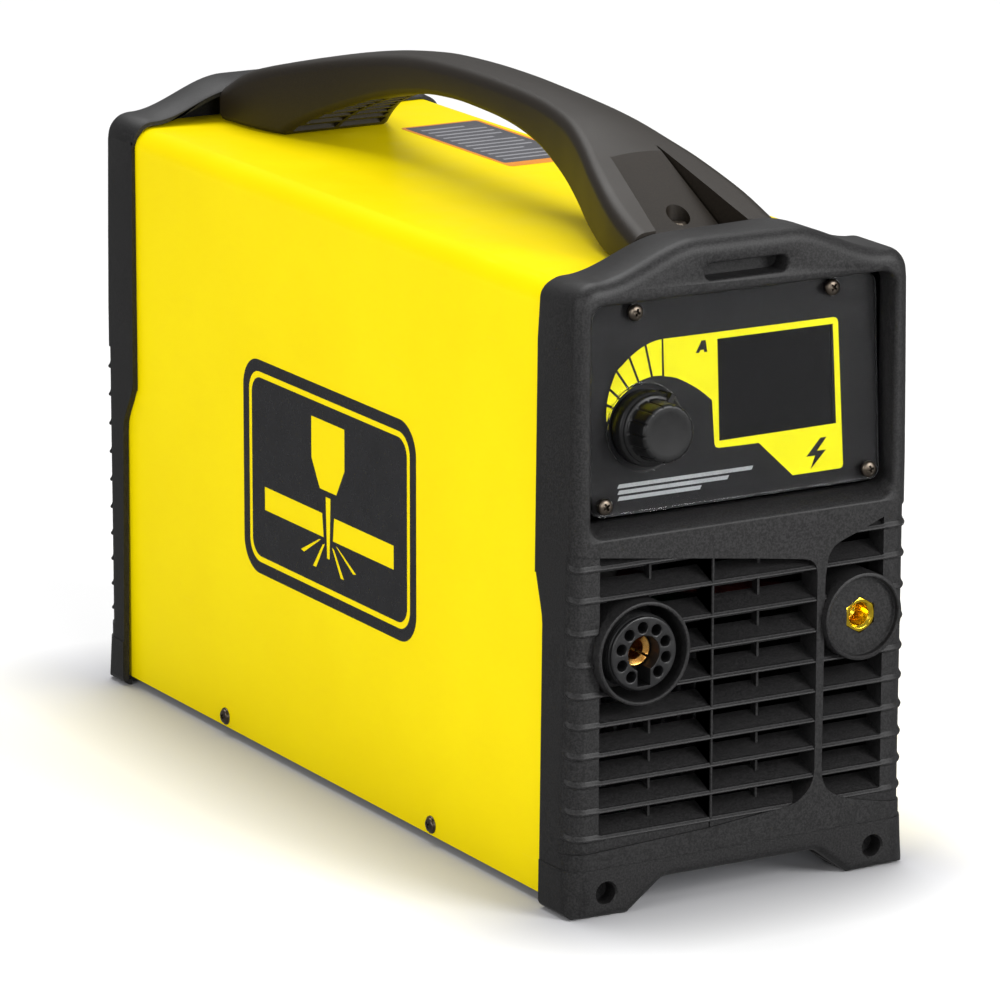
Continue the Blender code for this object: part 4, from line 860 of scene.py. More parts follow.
# Cover --------------------------------------------------------------------------------------
def make_cover():
    """A folded sheet, yellow powder coat outside; its inside is dark, as painted shade."""
    bottom, front, back = low("cover").z, low("cover").y, high("cover").y
    outer, inner = ([(COVER_HALF - depth, bottom)]
                    + arc(COVER_HALF - COVER_BEND, COVER_TOP - COVER_BEND, COVER_BEND - depth, 16)
                    for depth in (0, COVER_THICKNESS))
    outline = mirrored(outer) + mirrored(inner)[::-1]
    shape = ring_loft([level(front + (back - front) * i / 24, outline) for i in range(25)])
    holes = bmesh.new()
    for name in ("cover_screw_1", "cover_screw_2"):
        at = middle(name)
        cylinder('X', (at.y, at.z), 2.3, -100, 100, 24, holes)
    for name in ("handle_screw_front", "handle_screw_rear"):
        cylinder('Z', (0, middle(name).y), 3.3, 280, 310, 24, holes)
    sheet = make("cover_sheet", cut(shape, holes), YELLOW, replaces=["cover"],
                 bevel=0.25, limit=50)
    # painted shade: the cover's inner faces get the dark finish in place of the yellow coat
    sheet.data.materials.append(INSIDE_PAINTED_SHADE)
    for face in sheet.data.polygons:
        x, z = face.center.x / MM, face.center.z / MM
        corner = Vector((max(abs(x) - COVER_HALF + COVER_BEND, 0),
                         max(z - COVER_TOP + COVER_BEND, 0)))
        if corner.length < COVER_BEND - COVER_THICKNESS / 2:
            face.material_index = 1


DECAL_THICKNESS = 0.12
DECAL_CENTRE = (2, 149)                 # along Y and Z
LABEL_LOW, LABEL_HIGH = (31, 31), (77, 144)


def make_decals():
    """A torch cutting a plate, as a black badge on each side of the cover."""
    ca, cb = DECAL_CENTRE
    badge = rounded(ca - 88, cb - 55, ca + 88, cb + 55, 16, 10)
    frame_outer = rounded(ca - 82, cb - 49, ca + 82, cb + 49, 11, 10)
    frame_inner = rounded(ca - 79, cb - 46, ca + 79, cb + 46, 9, 10)
    torch = [(-17, 38), (17, 38), (17, 17), (8.5, 3), (-8.5, 3), (-17, 17)]
    jet = [(-2.6, 0), (2.6, 0), (1.4, -31), (-1.4, -31)]
    plates = ([(-66, -9), (-6, -9), (-4.6, -21), (-66, -21)],
              [(6, -9), (66, -9), (66, -21), (4.6, -21)])
    sparks = ([(-6, -25), (-3.4, -24), (-12.5, -38), (-16, -38)],
              [(3.4, -24), (6, -25), (16, -38), (12.5, -38)],
              [(-9.5, -23), (-7.2, -22.6), (-25, -33), (-28.5, -32.4)],
              [(7.2, -22.6), (9.5, -23), (28.5, -32.4), (25, -33)])
    for name, side in (("left", -1), ("right", 1)):
        near = COVER_HALF + 0.02
        start, end = sorted((side * near, side * (near + DECAL_THICKNESS)))
        sheet = prism(badge, 'X', start, end)
        ring = prism(frame_outer, 'X', start - 1, end + 1)
        holes = cut(ring, prism(frame_inner, 'X', start - 2, end + 2))
        for figure in (torch, jet, *plates, *sparks):
            prism([(ca + a, cb + b) for a, b in figure], 'X', start - 1, end + 1, holes)
        make(f"cover_badge_{name}", cut(sheet, holes), DECAL_BLACK)


def make_label():
    """A blank label on the cover: an orange frame round a grey body with plain bars."""
    base = COVER_TOP + 0.02
    (x0, y0), (x1, y1) = LABEL_LOW, LABEL_HIGH
    border = prism(rounded(x0, y0, x1, y1, 3, 6), 'Z', base, base + 0.10)
    border = cut(border, prism(rounded(x0 + 2, y0 + 9, x1 - 2, y1 - 2, 1.5, 6), 'Z', base - 1,
                               base + 1))
    make("cover_label_border", border, ORANGE)
    body = prism(rounded(x0 + 2.1, y0 + 9.1, x1 - 2.1, y1 - 2.1, 1.4, 6), 'Z', base, base + 0.10)
    make("cover_label_body", body, LABEL_GREY)
    bars = bmesh.new()
    for row in range(12):
        y = y0 + 16 + 7.6 * row
        end = x1 - 6 - (9 if row % 4 == 3 else 0)
        prism([(x0 + 6, y), (end, y), (end, y + 2.4), (x0 + 6, y + 2.4)], 'Z', base + 0.10,
              base + 0.14, bars)
    make("cover_label_bars", bars, LABEL_PALE)


# Handle -------------------------------------------------------------------------------------
HANDLE_TOP = ((-203, 314.8), (-190, 319.8), (-170, 327.7), (-140, 339.2), (-110, 348.6),
              (-80, 353.1), (-45, 355.4), (-10, 356.2), (20, 355.8), (50, 354.2), (80, 350.4),
              (110, 345.2), (140, 338.9), (170, 331.5), (190, 325.0), (206, 316.5))
HANDLE_ARCH = ((-177, 297.3), (-165, 299.2), (-150, 303.2), (-122, 312.2), (-93, 322.5),
               (-70, 330.2), (-40, 335.6), (0, 337.8), (20, 337.5), (43, 335.5), (83, 327.5),
               (120, 315.5), (143, 305.5), (157, 297.3))
HANDLE_HALF = ((-203, 40.2), (-178, 38.2), (-150, 31.6), (-125, 23.8), (-100, 17.9), (-70, 14.6),
               (-30, 14), (60, 14), (85, 15.5), (115, 20), (145, 29), (175, 37), (206, 40))
STRIP_START, STRIP_END = -137, -212


def handle_ring(y):
    """Rounded above, chamfered below."""
    top = interpolate(HANDLE_TOP, y)
    foot = HANDLE_ARCH[0][1]
    bottom = interpolate(HANDLE_ARCH, y) if HANDLE_ARCH[0][0] < y < HANDLE_ARCH[-1][0] else foot
    half = interpolate(HANDLE_HALF, y)
    tall = top - bottom
    above = min(6.0 + max(half - 16, 0) * 0.06, tall * 0.45)
    below = min(3.6, tall * 0.25)
    crown = 0.9
    right = [(half - below, bottom), (half - below * 0.42, bottom + below * 0.30),
             (half, bottom + below)]
    right += arc(half - above, top - crown - above, above, 8)
    for share in (0.75, 0.5, 0.25):
        right.append(((half - above) * share, top - crown * share * share))
    return level(y, mirrored(right, (0, top)))


def strip_floor(y):
    """Height of the sunken strip, which slopes down to the front bezel."""
    return max(342.0 + 0.683 * (y - STRIP_START), 303)


def make_handle():
    stations = sorted(set(list(range(-203, 206, 5)) + [206]))
    shape = ring_loft([handle_ring(y) for y in stations])
    # a sloping strip sunk between the two front rails, and a deeper pocket beside it
    strip, pocket = [], []
    for step in range(12):
        t = step / 11
        y = STRIP_START + 1 + (STRIP_END - STRIP_START - 1) * t
        left, right = -15.0 - 14.0 * t, 11.5 + 13.0 * t
        floor = strip_floor(y) + 0.25
        strip.append([(left, y, floor), (right, y, floor), (right, y, 400), (left, y, 400)])
        inner = 10.3 + 11.4 * t
        deep = floor - 0.3 - 14 * min(t * 2.4, 1)
        pocket.append([(inner, y, deep), (right, y, deep), (right, y, 400), (inner, y, 400)])
    shape = cut(shape, ring_loft(strip))
    shape = cut(shape, ring_loft(pocket))
    # the rear foot is hollow below, between ribs
    hollows = bmesh.new()
    first, pitch, length, wall, half_rib, height = 96, 8.6, 6.4, 4.5, 1.2, 9
    for i in range(7):
        y = first + i * pitch
        inner = interpolate(HANDLE_HALF, y) - wall
        roof = interpolate(HANDLE_ARCH, min(y, 150)) + height
        block((-inner, y, 280), (-half_rib, y + length, roof), hollows)
        block((half_rib, y, 280), (inner, y + length, roof), hollows)
    shape = cut(shape, hollows)
    holes = bmesh.new()
    head_height = 3.3
    for name in ("handle_screw_front", "handle_screw_rear"):
        at, seat = middle(name).y, high(name).z - head_height
        turned('Z', (0, at), ((0, 280), (3.2, 280), (3.2, seat), (5.7, seat), (5.7, 400), (0, 400)),
               40, holes)
    shape = cut(shape, holes)
    make("handle_moulding", shape, HANDLE_FINISH, replaces=["handle"], bevel=0.7,
         segments=3, limit=38)


# Screws -------------------------------------------------------------------------------------
def screw_shape(head, rise, shank):
    """A pan head on the plane y=0 with a cross recess, its shank towards +y."""
    dome = [(0, -rise)]
    for angle in quarter(7)[1:]:
        dome.append((head * math.sin(angle) ** 0.8, -rise * (0.30 + 0.70 * math.cos(angle))))
    profile = dome + [(head, 0), (1.9, 0), (1.9, shank), (0, shank)]
    shape = turned('Y', (0, 0), profile, 40)
    cross = bmesh.new()
    arm, thick = head * 0.52, head * 0.15
    outline = [(arm, -thick), (arm, thick), (thick, thick), (thick, arm), (-thick, arm),
               (-thick, thick), (-arm, thick), (-arm, -thick), (-thick, -thick), (-thick, -arm),
               (thick, -arm), (thick, -thick)]
    rings = [[(x * s, y, z * s) for x, z in outline]
             for y, s in ((-rise - 1, 1.12), (-rise * 0.25, 0.62))]
    ring_loft(rings, cross)
    return cut(shape, cross)


def make_screws():
    for i in range(1, 5):
        name = f"panel_screw_{i}"
        at = middle(name)
        local = PANEL.inverted() @ (at - PANEL_ORIGIN)
        shape = rotated(screw_shape(head=3.95, rise=2.5, shank=8.5), 0.35 * i, 'Y')
        make(name + "_head", on_panel(shifted(shape, local.x, -0.15, local.z)), SCREW_STEEL,
             replaces=[name], bevel=0.12, limit=40)
    for i in range(1, 5):
        name = f"cover_screw_{i}"
        at = middle(name)
        side = 1 if at.x > 0 else -1
        washer = turned('Y', (0, 0), ((1.9, 0.05), (4.5, 0.05), (4.3, -0.55), (1.9, -0.55)), 40)
        shape = rotated(joined(screw_shape(head=3.7, rise=2.3, shank=8.5), washer), 0.5 * i, 'Y')
        shape = rotated(shape, side * math.pi / 2, 'Z')
        make(name + "_head", shifted(shape, side * (COVER_HALF + 0.1), at.y, at.z), SCREW_STEEL,
             replaces=[name], bevel=0.12, limit=40)


# Control panel ------------------------------------------------------------------------------
def make_panel():
    knob = PANEL.inverted() @ (Vector(KNOB_JOINT["pos_m"]) / MM - PANEL_ORIGIN)
    outline = rounded(-SHIELD_HALF_WIDTH, -SHIELD_HALF_HEIGHT, SHIELD_HALF_WIDTH,
                      SHIELD_HALF_HEIGHT, 6, 8)
    shield = prism(outline, 'Y', 0, SHIELD_THICKNESS)
    holes = cylinder('Y', (knob.x, knob.z), 20.4, -1, SHIELD_THICKNESS + 1, 96)
    overlay_holes = cylinder('Y', (knob.x, knob.z), 4.6, 2, 8, 48)
    for i in range(1, 5):
        at = PANEL.inverted() @ (middle(f"panel_screw_{i}") - PANEL_ORIGIN)
        cylinder('Y', (at.x, at.z), 2.3, -1, SHIELD_THICKNESS + 1, 32, holes)
        cylinder('Y', (at.x, at.z), 2.3, 2, 8, 32, overlay_holes)
    make("panel_shield_sheet", on_panel(cut(shield, holes)), CLEAR,
         replaces=["panel_shield"], bevel=0.5, limit=50)
    overlay = prism(outline, 'Y', SHIELD_THICKNESS + 0.3, SHIELD_THICKNESS + 2.3)
    window = rounded(-9.2, -21.6, 54.6, 27.3, 0.8)
    prism(window, 'Y', 2, 8, overlay_holes)
    make("panel_overlay_sheet", on_panel(cut(overlay, overlay_holes)), PANEL_BLACK,
         replaces=["panel_overlay"], sharp=30)
    glass = prism(rounded(-8.9, -21.3, 54.3, 27.0, 0.6), 'Y', SHIELD_THICKNESS + 0.45,
                  SHIELD_THICKNESS + 5.6)
    module = prism(rounded(-13, -26, 58.6, 31.4, 2), 'Y', SHIELD_THICKNESS + 5.6,
                   SHIELD_THICKNESS + 9.6, glass)
    make("display_window", on_panel(module), GLASS, replaces=["display_module"],
         bevel=0.25, limit=50)
    make_graphics()
    make_knob(knob)


PRINT_DEPTH = SHIELD_THICKNESS + 0.12
PRINT_BACK = PRINT_DEPTH + 0.12
THROUGH_PRINT = ('Y', 2, 5)              # a prism's axis, start and end for cutting a print


def make_graphics():
    """Yellow field round the display window and fanned scale segments round the knob."""
    field = [(-36.9, 29.8), (56.0, 29.6), (57.3, 29.2), (58.1, 28.3), (58.4, 27.0), (59.8, -40.6),
             (59.4, -41.9), (58.2, -42.5), (31.9, -42.6), (13.6, -25.0), (-8.3, -24.7),
             (-10.0, -24.0), (-10.6, -22.3)]
    field += smooth_path([(-11.4, -1.8), (-18.4, 4.0), (-25.4, 8.3), (-31.0, 11.0), (-36.9, 12.4)],
                         5)
    shape = prism(field[::-1], 'Y', PRINT_DEPTH, PRINT_BACK)
    window = prism([(-7.9, -21.4), (56.4, -20.8), (55.5, 26.5), (-7.9, 26.5)], *THROUGH_PRINT)
    # a plain letter A for amperes, and a bolt in place of any mark
    prism([(-19.8, 21.1), (-16.5, 26.7), (-14.2, 26.7), (-13.4, 21.1), (-15.2, 21.1),
           (-15.35, 22.3), (-17.1, 22.3), (-17.8, 21.1)], *THROUGH_PRINT, window)
    prism([(47.5, -26.6), (39.5, -34.8), (44.4, -34.8), (41.6, -41.2), (50.6, -32.6), (45.6, -32.6),
           (51.0, -26.6)], *THROUGH_PRINT, window)
    make("panel_field", on_panel(cut(shape, window)), PANEL_YELLOW)
    # fan of scale segments round the knob, from the right round to the left
    outer = smooth_path([(-36.9, 29.8), (-41.8, 29.3), (-46.1, 28.0), (-50.4, 26.1), (-55.4, 23.0),
                         (-59.0, 20.1), (-62.6, 16.9), (-66.0, 9.6), (-67.6, 4.4), (-68.0, 1.5),
                         (-68.4, -2.6), (-68.0, -10)], 4)
    inner = smooth_path([(-36.9, 12.7), (-43.6, 13.0), (-51.2, 11.3), (-56.8, 9.0), (-62.5, 5.1),
                         (-64.6, 0.6), (-66.4, -4.1), (-67.3, -10)], 4)
    fan = prism(outer + inner[::-1], 'Y', PRINT_DEPTH, PRINT_BACK)
    gaps = bmesh.new()
    for (ax, az), (bx, bz) in (((-37.3, 32), (-37.5, 10)), ((-47.2, 31), (-42.9, 10)),
                               ((-56.4, 26), (-49.8, 9)), ((-64.4, 20.6), (-54.7, 6.5)),
                               ((-68.2, 11.4), (-60.6, 4.3)), ((-70.4, 3.6), (-63.0, 0))):
        line = Vector((bx - ax, bz - az)).normalized() * 0.62
        prism([(ax + line.y, az - line.x), (bx + line.y, bz - line.x), (bx - line.y, bz + line.x),
               (ax - line.y, az + line.x)], *THROUGH_PRINT, gaps)
    make("scale_segments", on_panel(cut(fan, gaps)), PANEL_YELLOW)
    stripes = bmesh.new()
    for i, reach in enumerate((9.3, -4.0, -19.0)):
        z = -36.2 - 2.9 * i
        prism([(-63.4, z - 0.9), (reach, z - 0.9), (reach + 1.0, z + 0.9), (-62.4, z + 0.9)], 'Y',
              PRINT_DEPTH, PRINT_BACK, stripes)
    make("panel_stripes", on_panel(stripes), PANEL_GREY)


def make_knob(knob):
    """Fluted cap on a stepped skirt with a raised pointer."""
    skirt, cap, reach = 17.7, 13.7, 19.8
    back = SHIELD_THICKNESS - 0.5

    def flutes(turn, radius, height):
        if height > -7.6 or radius < cap - 2:
            return radius
        wave = math.cos(turn * 14)
        groove = max(0.0, (wave - 0.84) / 0.16)
        fade = min(1.0, (radius - cap + 2) / 1.6)
        return radius - 0.6 * groove * fade

    profile = [(5.2, back), (skirt - 0.3, back), (skirt, back - 0.4), (skirt, -4.6),
               (skirt - 0.5, -5.4), (skirt - 1.4, -5.7), (skirt - 1.6, -6.0), (skirt - 1.7, -6.8),
               (skirt - 2.2, -7.2), (cap + 0.9, -7.3), (cap + 0.4, -7.9), (cap + 0.3, -9.0),
               (cap + 0.1, -15), (cap, -reach + 1.3), (cap - 0.25, -reach + 0.55),
               (cap - 0.9, -reach + 0.12), (cap - 1.7, -reach), (cap - 4, -reach + 0.15),
               (0, -reach + 0.35), (0, -reach + 3), (3.3, -reach + 3), (3.3, -4), (5.2, -4)]
    shape = turned('Y', (knob.x, knob.z), profile, 240, wave=flutes)
    pointer = ring_loft([level(y, [(-1.5, cap - 2.4), (1.5, cap - 2.4), (1.5 - s, skirt + 0.9 - s),
                                   (-1.5 + s, skirt + 0.9 - s)])
                         for y, s in ((-8.6, 0.5), (-8.1, 0.0), (back - 0.3, 0.0))])
    turn = Matrix.Translation((knob.x, 0, knob.z)) @ Matrix.Rotation(math.radians(33), 4, 'Y')
    bmesh.ops.transform(pointer, matrix=turn, verts=pointer.verts)
    shape = joined(shape, pointer)
    make("control_knob_cap", on_panel(shape), KNOB_FINISH, body="knob",
         replaces=["control_knob"], sharp=40)


# Torch socket and work terminal -------------------------------------------------------------
def make_torch_socket():
    centre = (TORCH.x, TORCH.z)
    front, back = low("torch_socket_hood").y, high("torch_socket_hood").y
    outer, inner = 24.85, 22.9
    hood = ((inner, front + 0.5), (inner + 0.35, front + 0.1), (inner + 0.8, front),
            (outer - 0.9, front), (outer - 0.3, front + 0.25), (outer, front + 0.9), (outer, back),
            (inner, back))
    make("torch_hood", turned('Y', centre, hood, 128), CHARCOAL,
         replaces=["torch_socket_hood"])
    body_front = FRONT - 3.4
    radius, bore = 18.3, 8.4
    profile = [(bore, body_front + 0.3), (bore + 0.3, body_front), (radius - 1.6, body_front),
               (radius - 1.0, body_front + 0.2), (radius - 0.7, body_front + 0.7)]
    profile += thread(body_front + 1.6, 1.9, 7,
                      ((radius - 0.7, 0), (radius - 0.1, 0.5), (radius, 0.75), (radius - 0.1, 1.0),
                       (radius - 0.7, 1.4)))
    rim = back - 4
    profile += [(radius - 1.1, rim), (inner - 0.3, rim), (inner - 0.3, back - 0.5),
                (radius - 2, back - 0.5), (radius - 2, back + 14), (bore, back + 14)]
    shape = turned('Y', centre, profile, 128)
    cavities, bottom = bmesh.new(), body_front + 13
    ring, key = 12.4, -87               # radius of the pin holes' ring, angle of the key slot
    for i in range(9):
        angle = math.radians(key + 36 * (i + 1))
        hole = (centre[0] + ring * math.cos(angle), centre[1] + ring * math.sin(angle))
        turned('Y', hole, ((0, body_front - 1), (3.0, body_front - 1), (3.0, body_front),
                           (2.55, body_front + 0.45), (2.55, bottom),
                           (0, bottom)), 32, cavities)
    block((centre[0] - 3.5, body_front - 1, centre[1] - 15.6),
          (centre[0] + 3.5, bottom, centre[1]), cavities)
    make("torch_socket_core", cut(shape, cavities), NYLON,
         replaces=["torch_socket_body"], bevel=0.12, limit=50)
    contact_outer = 7.9
    end = high("torch_contact").y
    lip = body_front + 7.6
    contact = ((5.0, lip + 1.7), (7.0, lip + 0.1), (7.3, lip), (contact_outer - 0.2, lip + 0.1),
               (contact_outer, lip + 0.5), (contact_outer, end), (5.6, end), (5.6, lip + 5),
               (5.0, lip + 4))
    sleeve = turned('Y', centre, contact, 96)
    slits = block((centre[0] - 12, lip - 1, centre[1] - 0.6),
                  (centre[0] + 12, lip + 12, centre[1] + 0.6))
    block((centre[0] - 0.6, lip - 1, centre[1] - 12), (centre[0] + 0.6, lip + 12, centre[1] + 12),
          slits)
    turn = Matrix.Translation((centre[0], 0, centre[1])) @ Matrix.Rotation(0.55, 4, 'Y') \
        @ Matrix.Translation((-centre[0], 0, -centre[1]))
    bmesh.ops.transform(slits, matrix=turn, verts=slits.verts)
    make("torch_contact_sleeve", cut(sleeve, slits), COPPER, replaces=["torch_contact"],
         bevel=0.15, limit=50)


def make_work_terminal():
    centre = (TERMINAL.x, TERMINAL.z)
    front, back = low("work_terminal_boss").y, high("work_terminal_boss").y
    radius = 21.3
    rim, floor, hub = radius - 2.2, front + 3.4, 9.6
    profile = ((hub, floor), (rim - 0.4, floor), (rim, floor - 0.4), (rim, front + 0.5),
               (rim + 0.5, front), (radius - 1.1, front), (radius - 0.3, front + 0.3),
               (radius, front + 1.1), (radius, back), (hub, back))
    make("terminal_boss", turned('Y', centre, profile, 128), CHARCOAL,
         replaces=["work_terminal_boss"])
    end = high("work_terminal_insert").y
    tip = floor + 0.1
    across, upright = 15.2, math.pi / 2
    corner = across / math.sqrt(3)
    insert = hexagon(centre, corner, tip, end,
                     ((0, tip - 0.01), (corner - 1.35, tip - 0.01), (corner + 0.2, tip + 1.1),
                      (corner + 0.2, end + 0.1), (0, end + 0.1)), 96, upright)
    bore = ((0, tip - 1), (6.4, tip - 1), (6.4, tip), (5.2, tip + 1.2), (5.2, tip + 12.4),
            (1.5, tip + 14), (0, tip + 14))
    make("terminal_insert", cut(insert, turned('Y', centre, bore, 64)), BRASS,
         replaces=["work_terminal_insert"], bevel=0.15, limit=40)
    # collar that closes the boss round the insert
    collar = cylinder('Y', centre, hub + 0.15, floor + 0.05, floor + 4, 64)
    seat = prism(circle(centre, corner + 0.15, 6, upright), 'Y', floor - 1, floor + 5)
    make("terminal_collar", cut(collar, seat), CHARCOAL)


# Rear fittings ------------------------------------------------------------------------------
def make_cable_gland():
    at = middle("cable_gland_body")
    centre = (at.x, at.z)
    start, end = low("cable_gland_body").y, high("cable_gland_body").y
    face = REAR_FACE
    profile = [(5.2, start), (9.4, start)]
    profile += thread(start + 0.5, 1.5, 8, ((9.4, 0), (10, 0.5), (10, 0.8), (9.4, 1.3)))
    profile += [(9.4, face - 0.2), (9.6, face - 0.2), (9.6, end), (5.2, end)]
    corner, thick = 13.5, 5
    flange = hexagon(centre, corner, face, face + thick,
                     ((0, face - 1), (13.6, face - 1), (13.6, face + 3.9), (12.0, face + 5.1),
                      (0, face + 5.1)), phase=math.pi / 6)
    make("gland_body", joined(turned('Y', centre, profile, 72), flange), NYLON,
         replaces=["cable_gland_body"], bevel=0.2, limit=40)
    start, end = low("cable_gland_cap").y, high("cable_gland_cap").y
    dome = [(5.2, start), (11.6, start), (12.3, start + 0.5), (12.5, start + 1.2),
            (12.5, start + 4.6)]
    for angle in quarter(7)[1:]:
        dome.append((8.4 + 4.1 * math.cos(angle),
                     start + 4.6 + (end - start - 4.6) * math.sin(angle)))
    dome += [(6.4, end), (5.6, end - 0.4), (5.2, end - 1.2)]

    def grip(turn, radius, height):
        groove = max(0.0, math.cos(turn * 16) - 0.6) / 0.4
        return radius - (0.55 * groove if radius > 11.5 and height < start + 5 else 0)

    make("gland_cap", turned('Y', centre, dome, 192, wave=grip), NYLON,
         replaces=["cable_gland_cap"], sharp=40)
    start, end = low("cable_gland_nut").y, high("cable_gland_nut").y
    nut_flats = 27
    nut = hexagon(centre, nut_flats / math.sqrt(3), start, end,
                  ((0, start), (13.8, start), (15.6, start + 1), (15.6, end - 1), (13.8, end),
                   (0, end)))
    make("gland_nut", cut(nut, cylinder('Y', centre, GLAND_BORE, start - 1, end + 1, 72)), STEEL,
         replaces=["cable_gland_nut"], bevel=0.2, limit=40)


def make_air_inlet():
    at = middle("air_inlet")
    centre = (at.x, at.z)
    start, end = low("air_inlet").y, high("air_inlet").y
    face = REAR_FACE
    profile = [(2.7, start), (5.9, start)]
    profile += thread(start + 0.6, 1.2, 9, ((5.9, 0), (6.5, 0.4), (6.5, 0.6), (5.9, 1.0)))
    # plug nipple with a locking groove
    profile += [(6.4, face), (8.2, face), (8.2, end - 12.0), (7.8, end - 11.4), (5.0, end - 10.6),
                (4.6, end - 10.0), (4.6, end - 8.4), (5.0, end - 7.8), (6.0, end - 7.2),
                (6.0, end - 1.2), (5.7, end - 0.5), (5.2, end), (3.3, end), (2.7, end - 0.6)]
    across, thick = 19, 4
    flats = hexagon(centre, across / math.sqrt(3), face, face + thick,
                    ((2.7, face), (9.8, face), (11, face + 0.8), (11, face + 3.2),
                     (9.8, face + 4), (2.7, face + 4)), 96)
    make("air_inlet_nipple", joined(turned('Y', centre, profile, 96), flats), BRASS,
         replaces=["air_inlet"], bevel=0.15, limit=40)


def make_switch():
    start, end = low("power_switch_frame"), high("power_switch_frame")
    at = middle("power_switch_frame")
    half_x, half_z = (end.x - start.x) / 2, (end.z - start.z) / 2

    def lofted(half_x, half_z, radius, steps, stations):
        return ring_loft([level(y, rounded(at.x - half_x - grow, at.z - half_z - grow,
                                           at.x + half_x + grow, at.z + half_z + grow, radius,
                                           steps)) for y, grow in stations])

    shape = lofted(half_x, half_z, 2.2, 8, ((REAR_FACE, 0), (end.y - 0.9, 0), (end.y - 0.3, -0.35),
                                            (end.y, -1.0)))
    body = block((at.x - half_x + SWITCH_LIP, start.y, at.z - half_z + SWITCH_LIP),
                 (at.x + half_x - SWITCH_LIP, REAR_FACE + 0.4, at.z + half_z - SWITCH_LIP))
    rocker_low, rocker_high = low("power_rocker"), high("power_rocker")
    gap_x, gap_z = 0.5, 1.4             # round the rocker, with room for its swing
    well = lofted((rocker_high.x - rocker_low.x) / 2 + gap_x,
                  (rocker_high.z - rocker_low.z) / 2 + gap_z, 1.2, 6,
                  ((start.y + 3, 0), (end.y - 0.6, 0), (end.y - 0.1, 0.35), (end.y + 1, 0.9)))
    make("switch_frame", cut(joined(shape, body), well), NYLON,
         replaces=["power_switch_frame"], sharp=40)


# Camera, light and floor --------------------------------------------------------------------
def make_camera():
    azimuth, elevation, roll = math.radians(-30.07), math.radians(14.48), math.radians(0.10)
    distance, side, lift = 3.21296, 0.0066463, 0.132696
    back = Vector((math.sin(azimuth) * math.cos(elevation),
                   -math.cos(azimuth) * math.cos(elevation), math.sin(elevation)))
    right = (-back).cross(Vector((0, 0, 1))).normalized()
    up = right.cross(-back)
    right, up = (right * math.cos(roll) + up * math.sin(roll),
                 up * math.cos(roll) - right * math.sin(roll))
    camera = add_object("camera", bpy.data.cameras.new("camera"))
    basis = Matrix((right, up, back)).transposed().to_4x4()
    camera.matrix_world = Matrix.Translation(right * side + up * lift + back * distance) @ basis
    camera.data.sensor_width = 36
    camera.data.lens = 230.6
    camera.data.clip_start, camera.data.clip_end = 0.05, 60
    bpy.context.scene.camera = camera


def area_light(name, place, target, width, height, power):
    data = bpy.data.lights.new(name, 'AREA')
    data.shape = 'RECTANGLE'
    data.size, data.size_y, data.energy = width, height, power
    light = add_object(name, data)
    light.location = place
    light.rotation_euler = (Vector(target) - Vector(place)).to_track_quat('-Z', 'Y').to_euler()


AMBIENT = 0.28
# name, place, target, width, height, power
LIGHTS = (("key", (0.9, -2.0, 1.2), (0, -0.15, 0.15), 1.0, 1.0, 40),
          ("low_key", (1.3, -2.2, 0.5), (0, -0.2, 0.15), 0.9, 0.7, 12),
          ("fill", (-0.6, -2.5, 0.7), (0, -0.2, 0.15), 0.7, 0.7, 12),
          ("side", (-2.3, -1.0, 1.1), (0, 0, 0.15), 1.4, 1.2, 24))


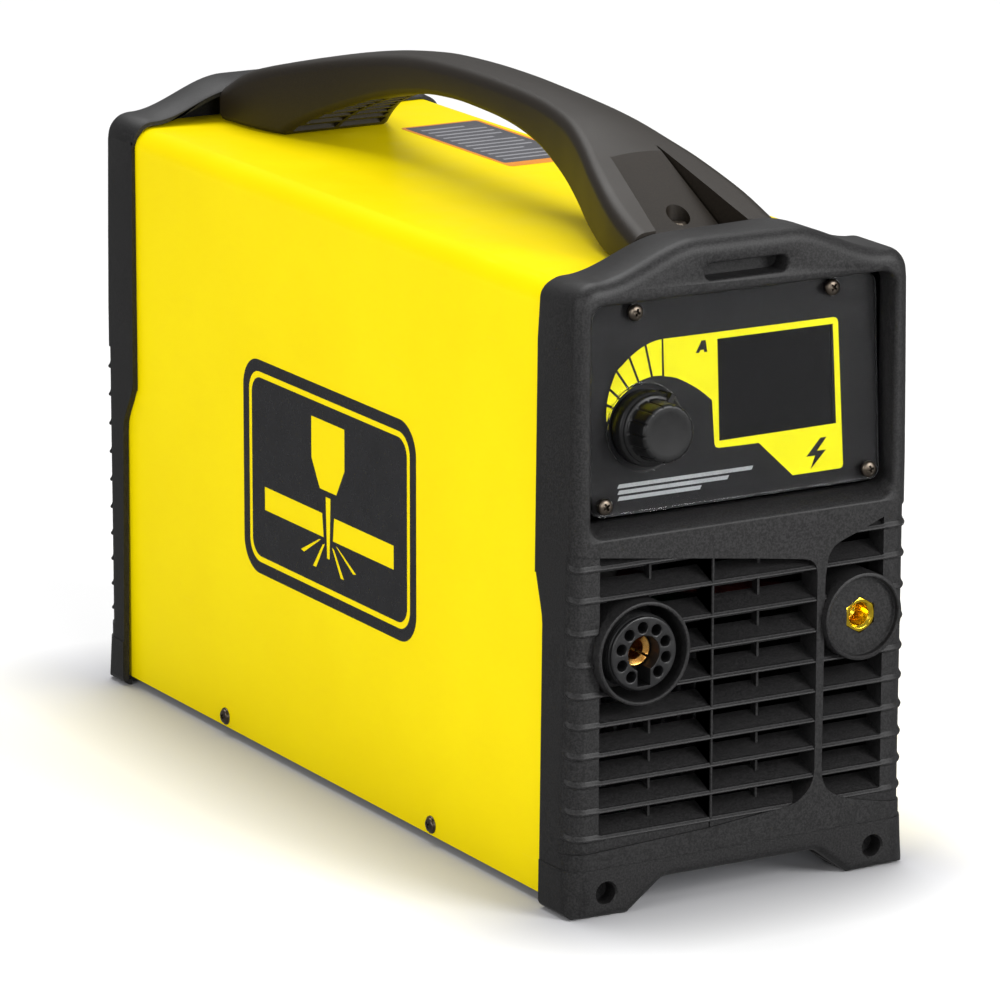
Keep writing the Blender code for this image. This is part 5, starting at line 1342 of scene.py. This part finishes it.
def make_studio():
    half, below = 40, -0.0002           # in metres; just under the feet
    shape = bmesh.new()
    shape.faces.new([shape.verts.new((x, y, below)) for x, y in
                     ((-half, -half), (half, -half), (half, half), (-half, half))])
    mesh = mesh_from("floor", shape)
    pale = Finish("pale_floor_painted_shadow", roughness=0.9, Specular_IOR_Level=0.0)
    tone = pale.ramp(pale.noise(400, 2), (0.3, (0.85, 0.85, 0.85)), (0.7, (0.87, 0.87, 0.87)))
    # painted shadow: the floor's colour turns dark grey next to the object, standing in for its
    # contact shadow
    split = pale.node("ShaderNodeSeparateXYZ", Vector=pale.place)
    gaps = []
    for axis, reach in (("X", COVER_HALF * MM), ("Y", REAR * MM - 0.01)):
        outside = pale.math('SUBTRACT', pale.math('ABSOLUTE', split.outputs[axis]), reach)
        gaps.append(pale.math('POWER', pale.math('MAXIMUM', outside, 0.0), 2.0))
    away = pale.math('SQRT', pale.math('ADD', *gaps))
    pale.colour(pale.mix(pale.band(away, 0.0, 0.075, 0.0, 1.0), (0.46, 0.46, 0.475), tone))
    mesh.materials.append(pale.material)
    floor = add_object("floor", mesh)
    floor.visible_glossy = floor.visible_transmission = False
    # the backdrop is white to look at, and gives only a part of the light
    world = bpy.data.worlds.new("studio")
    world.use_nodes = True
    nodes, links = world.node_tree.nodes, world.node_tree.links
    plain, backdrop = nodes["Background"], nodes.new("ShaderNodeBackground")
    plain.inputs["Strength"].default_value = AMBIENT
    backdrop.inputs["Strength"].default_value = 1.0
    for shader in (plain, backdrop):
        shader.inputs["Color"].default_value = (1, 1, 1, 1)
    seen, mixed = nodes.new("ShaderNodeLightPath"), nodes.new("ShaderNodeMixShader")
    links.new(seen.outputs["Is Camera Ray"], mixed.inputs[0])
    links.new(plain.outputs["Background"], mixed.inputs[1])
    links.new(backdrop.outputs["Background"], mixed.inputs[2])
    links.new(mixed.outputs["Shader"], nodes["World Output"].inputs["Surface"])
    bpy.context.scene.world = world
    for light in LIGHTS:
        area_light(*light)
    # an even light from above and a little behind
    sky = bpy.data.lights.new("sky", 'SUN')
    sky.energy, sky.angle = 2.75, math.radians(50)
    above = add_object("sky", sky)
    above.rotation_euler = Vector((-0.1, -0.42, -1)).to_track_quat('-Z', 'Y').to_euler()
    bpy.context.scene.view_settings.view_transform = 'Standard'


for step in (make_front_bezel, make_rear_bezel, make_cover, make_decals, make_label, make_handle,
             make_screws, make_panel, make_torch_socket, make_work_terminal, make_cable_gland,
             make_air_inlet, make_switch, make_camera, make_studio):
    step()

# The CAD nodes that stay in view or inside, by finish
NODE_FINISHES = (
    (STEEL, "knob_shaft encoder_body air_valve_plunger"),
    (BOARD, "control_board power_board"),
    (SCREW_STEEL, "handle_screw_front handle_screw_rear"),
    (TRAY_STEEL, "base_tray"),
    (NYLON, "power_rocker"),
    (FAN_FINISH, "fan_frame fan_rotor"),
    (ALUMINIUM, "heatsink_primary heatsink_secondary"),
    (EPOXY, "igbt_module_1 igbt_module_2 rectifier_module input_bridge soft_start_relay"
            " air_valve_coil pressure_switch"),
    (SLEEVE, "bulk_capacitor_1 bulk_capacitor_2 bulk_capacitor_3"),
    (WINDING, "mains_filter_choke transformer_winding"),
    (FERRITE, "transformer_core output_choke"),
    (BOWL, "air_filter"),
    (BRASS, "air_valve_body"),
    (HOSE, "filter_hose inlet_hose torch_hose"),
    (LEAD, "work_lead"),
)
for finish, names in NODE_FINISHES:
    for name in names.split():
        materials = frame["nodes"][name].data.materials
        materials.clear()
        materials.append(finish)
